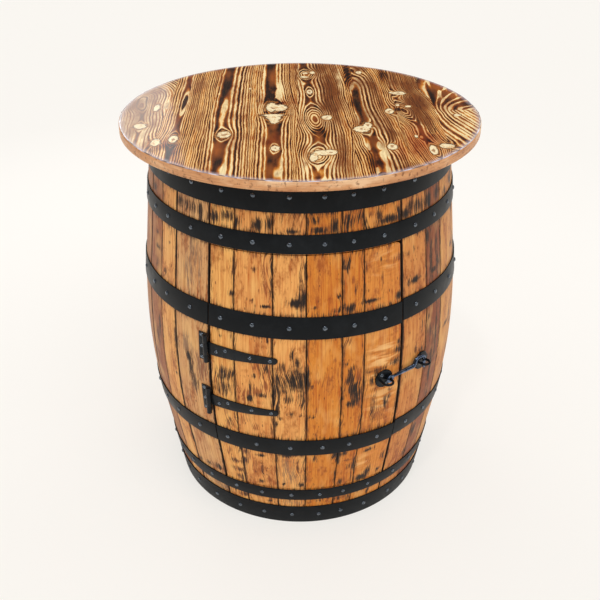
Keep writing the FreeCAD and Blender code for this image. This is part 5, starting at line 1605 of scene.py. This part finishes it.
@dataclass(frozen=True)
class Hoop:
    """One hoop: the band it covers, and where it is sawn through."""

    name: str
    node: str
    body: str
    low: float
    high: float
    start: float = 0.0
    sweep: float = 360.0
    tilt: float = 0.0


@dataclass
class HoopRoller:
    """Rolls hoops from flat strip: an eased rectangle carried round the barrel."""

    finishes: Finishes
    thickness: float = 2 * MM
    gap: float = 0.3 * MM
    ease: float = 0.55 * MM
    segments: int = 192

    def group(self) -> Grower:
        """Build the node group that sweeps the strip's section along an arc.

        Returns:
            The group.
        """
        nodes = Grower("rolled_hoop", {
            "Radius": 0.3, "Height": 0.5, "Width": 0.05, "Thickness": self.thickness, "Ease": self.ease,
            "Lean": 0.0, "Start": 0.0, "Sweep": math.tau, "Closed": False, "Tilt": 0.0,
            "Tilt Start": 0.0, "Segments": self.segments, "Finish": None})
        sockets = nodes.sockets
        ring = nodes.add("GeometryNodeCurvePrimitiveCircle",
                         {"Resolution": sockets["Segments"], "Radius": sockets["Radius"]}, mode="RADIUS")
        arc = nodes.add("GeometryNodeCurveArc",
                        {"Resolution": sockets["Segments"], "Radius": sockets["Radius"],
                         "Start Angle": sockets["Start"], "Sweep Angle": sockets["Sweep"]}, mode="RADIUS")
        path = nodes.add("GeometryNodeSwitch", {"Switch": sockets["Closed"], "False": arc, "True": ring},
                         input_type="GEOMETRY")
        # The path rises to its height, and sinks with X where the strip is tilted.
        place = nodes.add("GeometryNodeInputPosition")
        x = nodes.split(place)
        past = nodes.calc("SUBTRACT", x, sockets["Tilt Start"])
        slope = nodes.calc("TANGENT", sockets["Tilt"])
        sag = nodes.calc("MULTIPLY", past, slope)
        level = nodes.calc("SUBTRACT", sockets["Height"], sag)
        rise = nodes.join(Z=level)
        path = nodes.add("GeometryNodeSetPosition", {"Geometry": path, "Offset": rise})
        strip = nodes.add("GeometryNodeCurvePrimitiveQuadrilateral",
                          {"Width": sockets["Thickness"], "Height": sockets["Width"]}, mode="RECTANGLE")
        eased = nodes.add("GeometryNodeFilletCurve",
                          {"Curve": strip, "Radius": sockets["Ease"], "Count": 3}, mode="POLY")
        turn = nodes.join(Z=sockets["Lean"])
        leaned = nodes.add("GeometryNodeTransform", {"Geometry": eased, "Rotation": turn})
        band = nodes.add("GeometryNodeCurveToMesh",
                         {"Curve": path, "Profile Curve": leaned, "Fill Caps": True})
        nodes.close(band)
        return nodes

    def build(self, hoops: Sequence[Hoop]) -> None:
        """Roll and place the hoops.

        Args:
            hoops: What to roll.
        """
        group = self.group()
        for hoop in hoops:
            middle = (hoop.low + hoop.high) / 2
            out = self.gap + self.thickness / 2
            low, high = SIDE.radius(hoop.low, out), SIDE.radius(hoop.high, out)
            if hoop.low < SIDE.bilge_height < hoop.high:
                low = high = SIDE.radius(middle, out)
            lean = math.atan2(high - low, hoop.high - hoop.low)
            tilt_start = SIDE.radius(middle) * math.sin(hoop.start * DEGREE) if hoop.tilt else 0.0
            values = {"Radius": (low + high) / 2, "Height": middle,
                      "Width": (hoop.high - hoop.low) / math.cos(lean), "Thickness": self.thickness,
                      "Ease": self.ease, "Lean": lean, "Start": (hoop.start - 90) * DEGREE,
                      "Sweep": hoop.sweep * DEGREE, "Closed": hoop.sweep > 359.9,
                      "Tilt": hoop.tilt * DEGREE, "Tilt Start": tilt_start,
                      "Segments": max(24, round(self.segments * hoop.sweep / 360)),
                      "Finish": self.finishes.hoop}
            piece = group.grow(gather([], [], "hoop_seed"), values, hoop.name)
            tidy(piece, crease=30)
            settle(piece, hoop.body, [hoop.node])


# --- Nails and screws --------------------------------------------------------------------------

@dataclass
class DomedHeads:
    """Nail and screw heads: one domed head, set at every seat along the surface's normal."""

    segments: int = 20

    def group(self) -> Grower:
        """Build the node group that sets a dome at each seat.

        Returns:
            The group.
        """
        nodes = Grower("domed_heads", {
            "Radius": 5 * MM, "Rise": 3 * MM, "Skirt": 0.3, "Slot Width": 0.0, "Slot Depth": 0.0,
            "Segments": self.segments, "Spread": 0.06, "Seed": 3, "Finish": None})
        sockets = nodes.sockets
        ball = nodes.add("GeometryNodeMeshUVSphere",
                         {"Segments": sockets["Segments"], "Rings": 12, "Radius": 1.0})
        # A ball of radius 1 is cut off flat just below its middle and squashed to the head's rise.
        place = nodes.add("GeometryNodeInputPosition")
        x = nodes.split(place)
        y, z = x.node.outputs["Y"], x.node.outputs["Z"]
        below = nodes.calc("MULTIPLY", sockets["Skirt"], -1.0)
        flat = nodes.calc("MAXIMUM", z, below)
        tall = nodes.calc("MULTIPLY", flat, sockets["Rise"])
        wide_x = nodes.calc("MULTIPLY", x, sockets["Radius"])
        wide_y = nodes.calc("MULTIPLY", y, sockets["Radius"])
        # A cross recess: the dome sinks where a point is near one of the two slots' lines.
        along_x = nodes.calc("ABSOLUTE", wide_x)
        along_y = nodes.calc("ABSOLUTE", wide_y)
        nearer = nodes.calc("MINIMUM", along_x, along_y)
        farther = nodes.calc("MAXIMUM", along_x, along_y)
        in_slot = nodes.calc("LESS_THAN", nearer, sockets["Slot Width"])
        arm = nodes.calc("MULTIPLY", sockets["Radius"], 0.55)
        in_arm = nodes.calc("LESS_THAN", farther, arm)
        above = nodes.calc("GREATER_THAN", z, 0.0)
        cut = nodes.calc("MULTIPLY", in_slot, in_arm)
        cut = nodes.calc("MULTIPLY", cut, above)
        cut = nodes.calc("MULTIPLY", cut, sockets["Slot Depth"])
        sunk = nodes.calc("SUBTRACT", tall, cut)
        shaped = nodes.join(X=wide_x, Y=wide_y, Z=sunk)
        dome = nodes.add("GeometryNodeSetPosition", {"Geometry": ball, "Position": shaped})
        # One head at each seat, turned so that its axis follows the seat's stored normal.
        out = nodes.add("GeometryNodeInputNamedAttribute", {"Name": "out"}, data_type="FLOAT_VECTOR",
                        out="Attribute")
        spin = nodes.add("FunctionNodeRandomValue", {2: 0.0, 3: math.tau, "Seed": sockets["Seed"]}, out=1,
                         data_type="FLOAT")
        spun = nodes.join(Z=spin)
        aligned = nodes.add("FunctionNodeAlignRotationToVector", {"Vector": out}, axis="Z")
        turned = nodes.add("FunctionNodeRotateRotation", {"Rotation": aligned, "Rotate By": spun},
                           rotation_space="LOCAL")
        least = nodes.calc("SUBTRACT", 1.0, sockets["Spread"])
        scale = nodes.add("FunctionNodeRandomValue", {2: least, 3: 1.0, "Seed": sockets["Seed"]}, out=1,
                          data_type="FLOAT")
        seats = nodes.add("GeometryNodeMeshToPoints", {"Mesh": nodes.carried})
        heads = nodes.add("GeometryNodeInstanceOnPoints",
                          {"Points": seats, "Instance": dome, "Rotation": turned, "Scale": scale})
        nodes.close(heads)
        return nodes

    def set_heads(self, name: str, seats: Sequence[Seat], values: dict[str, Any],
                  built: Grower) -> bpy.types.Object:
        """Set heads at seats.

        Args:
            name: The new piece's name.
            seats: Place and outward normal of each head.
            values: The node group's inputs by name.
            built: The node group.

        Returns:
            One mesh object with all the heads.
        """
        carrier = gather([place for place, _ in seats], [], f"{name}_seats")
        store(carrier, "out", "FLOAT_VECTOR", [share for _, out in seats for share in out])
        piece = built.grow(carrier, values, name)
        tidy(piece, weld=0.002 * MM, crease=45)
        return piece


@dataclass
class Ironmongery:
    """Hoops with their nails, and the heads of every screw."""

    finishes: Finishes
    ring: StaveRing
    nail_radius: float = 5.2 * MM
    nail_rise: float = 3.0 * MM
    screw_radius: float = 4.2 * MM
    screw_rise: float = 2.2 * MM
    hoop_face: float = 2.3 * MM
    door_tilt: float = 0.8
    hoop_bands: dict[str, tuple[float, float]] = field(default_factory=lambda: {
        "top_chime": (813 * MM, 876 * MM), "top_quarter": (731 * MM, 770 * MM),
        "upper_bilge": (550 * MM, 600 * MM), "lower_bilge": (241 * MM, 287 * MM),
        "bottom_quarter": (83 * MM, 117.5 * MM), "bottom_chime": (1 * MM, 57 * MM)})

    def hoops(self) -> list[Hoop]:
        """List the hoops; the two bilge hoops are sawn through at the door.

        Returns:
            The hoops from the top down, each sawn one followed by its piece on the door.
        """
        trim = self.ring.kerf_half / SIDE.bilge_radius / DEGREE
        found = []
        for name, (low, high) in self.hoop_bands.items():
            if name.endswith("bilge"):
                start = self.ring.latch_side + trim
                sweep = 360 - (self.ring.latch_side - self.ring.hinge_side) - 2 * trim
                found.append(Hoop(f"{name}_hoop_steel", f"{name}_hoop", "cabinet", low, high, start, sweep))
                found.append(Hoop(f"door_{name}_hoop_steel", f"door_{name}_hoop", "door", low, high,
                                  self.ring.hinge_side + trim,
                                  self.ring.latch_side - self.ring.hinge_side - 2 * trim, self.door_tilt))
            else:
                found.append(Hoop(f"{name}_hoop_steel", f"{name}_hoop", "cabinet", low, high))
        return found

    def nail_seats(self) -> dict[str, list[Seat]]:
        """Seats of the nails: one in the middle of each stave on each hoop.

        Returns:
            Place and outward normal of each nail, by body.
        """
        ring = self.ring
        door = ring.seams(ring.door_shares, ring.hinge_side, ring.latch_side)
        fixed = ring.seams(ring.frame_shares, ring.latch_side, ring.hinge_side + 360)
        door_middles = [(start + end) / 2 for start, end in zip(door, door[1:])]
        fixed_middles = [(start + end) / 2 for start, end in zip(fixed, fixed[1:])]
        seats: dict[str, list[Seat]] = {"cabinet": [], "door": []}
        for name, (low, high) in self.hoop_bands.items():
            middle = (low + high) / 2
            whole = not name.endswith("bilge")
            for azimuth in fixed_middles + (door_middles if whole else []):
                seats["cabinet"].append((SIDE.spot(azimuth, middle, self.hoop_face),
                                         SIDE.outward(azimuth, middle)))
            if not whole:
                hinge_x = SIDE.radius(middle) * math.sin(ring.hinge_side * DEGREE)
                for azimuth in door_middles:
                    x = SIDE.bilge_radius * math.sin(azimuth * DEGREE)
                    level = middle - math.tan(self.door_tilt * DEGREE) * (x - hinge_x)
                    seats["door"].append((SIDE.spot(azimuth, level, self.hoop_face),
                                          SIDE.outward(azimuth, level)))
        return seats

    def screw_seats(self, node: str) -> list[Seat]:
        """Seats of screws, read from the solids of one node.

        Args:
            node: The node that holds the screws.

        Returns:
            Place and outward normal of each head.
        """
        work = bmesh.new()
        work.from_mesh(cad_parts[node].data)
        bmesh.ops.remove_doubles(work, verts=work.verts, dist=0.001 * MM)
        seats = []
        left = set(work.verts)
        for first in work.verts:
            if first not in left:
                continue
            left.remove(first)
            island = [first]
            for vertex in island:
                for edge in vertex.link_edges:
                    other = edge.other_vert(vertex)
                    if other in left:
                        left.remove(other)
                        island.append(other)
            seats.append(self.seat_of([vertex.co.copy() for vertex in island]))
        work.free()
        return seats

    def seat_of(self, cloud: Sequence[Vector]) -> Seat:
        """Seat of one screw: its head is the wide end of its long axis.

        Args:
            cloud: The screw's points.

        Returns:
            Place and outward normal of the head.
        """
        ends = max(((a - b).length, a, b) for a in cloud[::3] for b in cloud[::3])
        axis = (ends[1] - ends[2]).normalized()
        middle = sum(cloud, Vector()) / len(cloud)
        for _ in range(6):
            covariance = Matrix(((0, 0, 0), (0, 0, 0), (0, 0, 0)))
            for point in cloud:
                gap = point - middle
                for row in range(3):
                    for column in range(3):
                        covariance[row][column] += gap[row] * gap[column]
            axis = (covariance @ axis).normalized()
        heights = [(point - middle).dot(axis) for point in cloud]
        spread = [(point - middle - axis * height).length for point, height in zip(cloud, heights)]
        wide = max(range(len(cloud)), key=lambda index: spread[index])
        if heights[wide] < 0:
            axis = -axis
            heights = [-height for height in heights]
        line = middle + axis * max(heights)
        return line - axis * self.screw_rise, axis

    def build(self) -> None:
        """Build and place hoops, nails and screws."""
        HoopRoller(self.finishes).build(self.hoops())
        heads = DomedHeads()
        built = heads.group()
        for body, seats in self.nail_seats().items():
            node = "frame_hoop_nails" if body == "cabinet" else "door_hoop_nails"
            piece = heads.set_heads(f"{node}_heads", seats,
                                    {"Radius": self.nail_radius, "Rise": self.nail_rise, "Skirt": 0.15,
                                     "Slot Width": 0.0, "Slot Depth": 0.0, "Segments": 20,
                                     "Spread": 0.1, "Seed": 11, "Finish": self.finishes.nail}, built)
            settle(piece, body, [node])
        for node, body, slot, finish in (
                ("door_hardware_screws", "door", "zinc_screws", self.finishes.zinc),
                ("frame_hardware_screws", "cabinet", "black_screws", self.finishes.black_screw)):
            piece = heads.set_heads(f"{node}_heads", self.screw_seats(node),
                                    {"Radius": self.screw_radius, "Rise": self.screw_rise, "Skirt": 0.12,
                                     "Slot Width": 0.55 * MM, "Slot Depth": 0.9 * MM, "Segments": 32,
                                     "Spread": 0.04, "Seed": 5, "Finish": finish}, built)
            settle(piece, body, [node])


# --- Small iron and inside woodwork ------------------------------------------------------------

@dataclass(frozen=True)
class Softened:
    """A solid carried over with its sharp edges eased."""

    node: str
    name: str
    body: str
    slot: str
    finish: bpy.types.Material
    ease: float
    crease: float = 32.0
    swell: float = 0.0


@dataclass
class Carried:
    """Hinges, hook, plates, heads, shelf, ribs and cleats, eased copies of their solids.

    The swelling of the hook's bar starts and ends at shares of its length, over a rise and a fall.
    """

    finishes: Finishes
    swell_start: float = 0.22
    swell_rise: float = 0.1
    swell_end: float = 0.84
    swell_fall: float = 0.12

    def plan(self) -> list[Softened]:
        """List the solids with their finish and the easing of their edges.

        Returns:
            What to carry over, in order.
        """
        iron = self.finishes
        rows = []
        for side in ("upper", "lower"):
            for part, body in (("leaf", "cabinet"), ("strap", "door")):
                name = f"{side}_hinge_{part}"
                rows.append((name, f"{name}_iron", body, "hinge_black", iron.hinge, 0.5 * MM))
        rows += [
            ("hinge_pins", "hinge_pins_iron", "cabinet", "hinge_black", iron.hinge, 0.4 * MM),
            ("hook", "cabin_hook_iron", "hook", "blued_iron", iron.blued, 0.0, 60, 1.7 * MM),
            ("hook_staple_plate", "hook_staple_and_rose", "door", "blued_iron", iron.rose, 0.25 * MM),
            ("catch_staple_plate", "catch_staple_and_rose", "cabinet", "blued_iron", iron.rose, 0.25 * MM),
            ("top_head", "top_head_boards", "cabinet", "head_oak", iron.head, 0.8 * MM),
            ("bottom_head", "bottom_head_boards", "cabinet", "head_oak", iron.head, 0.8 * MM),
            ("shelf", "shelf_boards", "cabinet", "inside_pine", iron.shelf, 1.2 * MM),
            ("shelf_cleats", "shelf_cleats_pine", "cabinet", "inside_pine", iron.cleat, 1.0 * MM),
            ("tabletop_cleats", "tabletop_cleats_pine", "cabinet", "inside_pine", iron.cleat, 1.5 * MM),
            ("door_ribs", "door_ribs_pine", "door", "inside_pine", iron.cleat, 1.0 * MM),
            ("door_stop", "door_stop_pine", "cabinet", "inside_pine", iron.shelf, 0.8 * MM),
        ]
        return [Softened(*row) for row in rows]

    def soften(self, plan: Softened) -> bpy.types.Object:
        """Copy a solid's mesh, weld it and ease its edges.

        Args:
            plan: The solid and its finish.

        Returns:
            The new object.
        """
        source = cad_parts[plan.node]
        piece = show(plan.name, source.data.copy())
        piece.data.materials.clear()
        piece.data.materials.append(plan.finish)
        work = bmesh.new()
        work.from_mesh(piece.data)
        bmesh.ops.remove_doubles(work, verts=work.verts, dist=0.002 * MM)
        bmesh.ops.dissolve_limit(work, angle_limit=1.0 * DEGREE, verts=work.verts, edges=work.edges)
        if plan.ease:
            sharp = [edge for edge in work.edges
                     if len(edge.link_faces) == 2 and edge.calc_face_angle(0.0) > plan.crease * DEGREE]
            bmesh.ops.bevel(work, geom=sharp, offset=plan.ease, offset_type="OFFSET", segments=2,
                            profile=0.5, affect="EDGES", clamp_overlap=True)
        if plan.swell:
            self.swell(work, plan.swell)
        bmesh.ops.triangulate(work, faces=[face for face in work.faces if len(face.verts) > 4])
        work.to_mesh(piece.data)
        work.free()
        tidy(piece, weld=0.001 * MM, crease=plan.crease, turn=False)
        return piece

    def swell(self, work: bmesh.types.BMesh, growth: float) -> None:
        """Thicken the middle of a rod that runs along X, and leave its two ends as they are.

        Args:
            work: The rod's mesh, welded.
            growth: How far the surface moves out.
        """
        work.normal_update()
        low = min(vert.co.x for vert in work.verts)
        high = max(vert.co.x for vert in work.verts)
        moves = []
        for vert in work.verts:
            share = (vert.co.x - low) / (high - low)
            rising = (share - self.swell_start) / self.swell_rise
            falling = (self.swell_end - share) / self.swell_fall
            amount = max(0.0, min(1.0, rising, falling))
            moves.append((vert, vert.normal * growth * amount))
        for vert, move in moves:
            vert.co += move

    def build(self) -> None:
        """Build and place every piece."""
        for plan in self.plan():
            settle(self.soften(plan), plan.body, [plan.node])
        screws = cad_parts["tabletop_screws"]
        screws.data.materials.clear()
        screws.data.materials.append(self.finishes.zinc)


# --- Studio ------------------------------------------------------------------------------------

@dataclass
class Studio:
    """A plain pale floor, soft light and the camera."""

    camera_place: tuple[float, float, float] = (0.0, -1.8449, 1.5156)
    camera_tilt: float = 59.52
    lens: float = 53.04
    sensor: float = 36.0
    floor_colour: str = "F9F6F1"
    floor_glow: float = 0.68
    world_colour: str = "FDFBF8"

    def floor(self) -> None:
        """Lay the floor; to the camera it glows a little, as paper on a light table does."""
        reach = 14.0
        corners = [Vector((x * reach, y * reach, 0.0)) for x, y in ((-1, -1), (1, -1), (1, 1), (-1, 1))]
        floor = gather(corners, [(0, 1, 2, 3)], "studio_floor")
        mix = Recipe("matt_paper_floor")
        material = mix.surface(Base_Color=colour(self.floor_colour), Roughness=0.9, Specular_IOR_Level=0.0)
        seen = mix.add("ShaderNodeLightPath", out="Is Camera Ray")
        share = mix.calc("MULTIPLY", seen, self.floor_glow)
        glow = mix.add("ShaderNodeEmission", {"Color": colour(self.floor_colour), "Strength": 1.0})
        both = mix.add("ShaderNodeMixShader", {0: share, 1: mix.shader.outputs[0], 2: glow})
        mix.tree.links.new(both, mix.tree.nodes["Material Output"].inputs["Surface"])
        floor.data.materials.append(material)

    def light(self) -> None:
        """Set an even white room, a soft sun, a small key light and two strip lights behind."""
        world = bpy.data.worlds.new("white_room")
        world.use_nodes = True
        bpy.context.scene.world = world
        nodes = Nodes(world.node_tree)
        room = nodes.tree.nodes["Background"]
        # The room lights evenly; glossy surfaces mirror it bright overhead and dark at the sides.
        place = nodes.coordinates("Generated")
        up = nodes.split(place, "Z")
        mirrored = nodes.span(up, 0.42, 0.95, 0.08, 1.0)
        path = nodes.add("ShaderNodeLightPath", out="Is Glossy Ray")
        seen = nodes.span(path.node.outputs["Is Camera Ray"], 0.0, 1.0, 0.78, 0.96)
        strength = nodes.span(path, 0.0, 1.0, seen, mirrored)
        room.inputs["Color"].default_value = colour(self.world_colour)
        nodes.tree.links.new(strength, room.inputs["Strength"])
        for name, energy, angle, turn in (("soft_sun", 0.7, 40, (38, 6, 24)),
                                          ("key_light", 0.35, 4, (30, 0, -22))):
            sun = bpy.data.lights.new(name, "SUN")
            sun.energy = energy
            sun.angle = angle * DEGREE
            show(name, sun).rotation_euler = [share * DEGREE for share in turn]
        for name, place, energy in (("left_strip", Vector((-1.1, 2.0, 1.6)), 9.0),
                                    ("right_strip", Vector((1.25, 1.5, 1.6)), 4.0)):
            strip = bpy.data.lights.new(name, "AREA")
            strip.shape = "RECTANGLE"
            strip.size, strip.size_y = 1.1, 0.8
            strip.energy = energy
            lamp = show(name, strip)
            lamp.location = place
            lamp.rotation_euler = (Vector((0.0, 0.0, 0.9)) - place).to_track_quat("-Z", "Y").to_euler()

    def camera(self) -> None:
        """Set the camera."""
        data = bpy.data.cameras.new("camera")
        data.lens = self.lens
        data.sensor_width = self.sensor
        data.dof.use_dof = False
        camera = show("camera", data)
        camera.location = self.camera_place
        camera.rotation_euler = (self.camera_tilt * DEGREE, 0.0, 0.0)
        bpy.context.scene.camera = camera

    def build(self) -> None:
        """Set the stage."""
        bpy.context.scene.view_settings.view_transform = "Standard"
        self.camera()
        self.floor()
        self.light()


def main() -> None:
    """Build the studio and the cabinet, and report each piece."""
    logging.basicConfig(level=logging.INFO, format="%(message)s")
    Studio().build()
    finishes = Finishes()
    ring = StaveRing(finishes)
    ring.build()
    RoundTop(finishes).build()
    Ironmongery(finishes, ring).build()
    Carried(finishes).build()


if __name__ == "__main__":
    main()
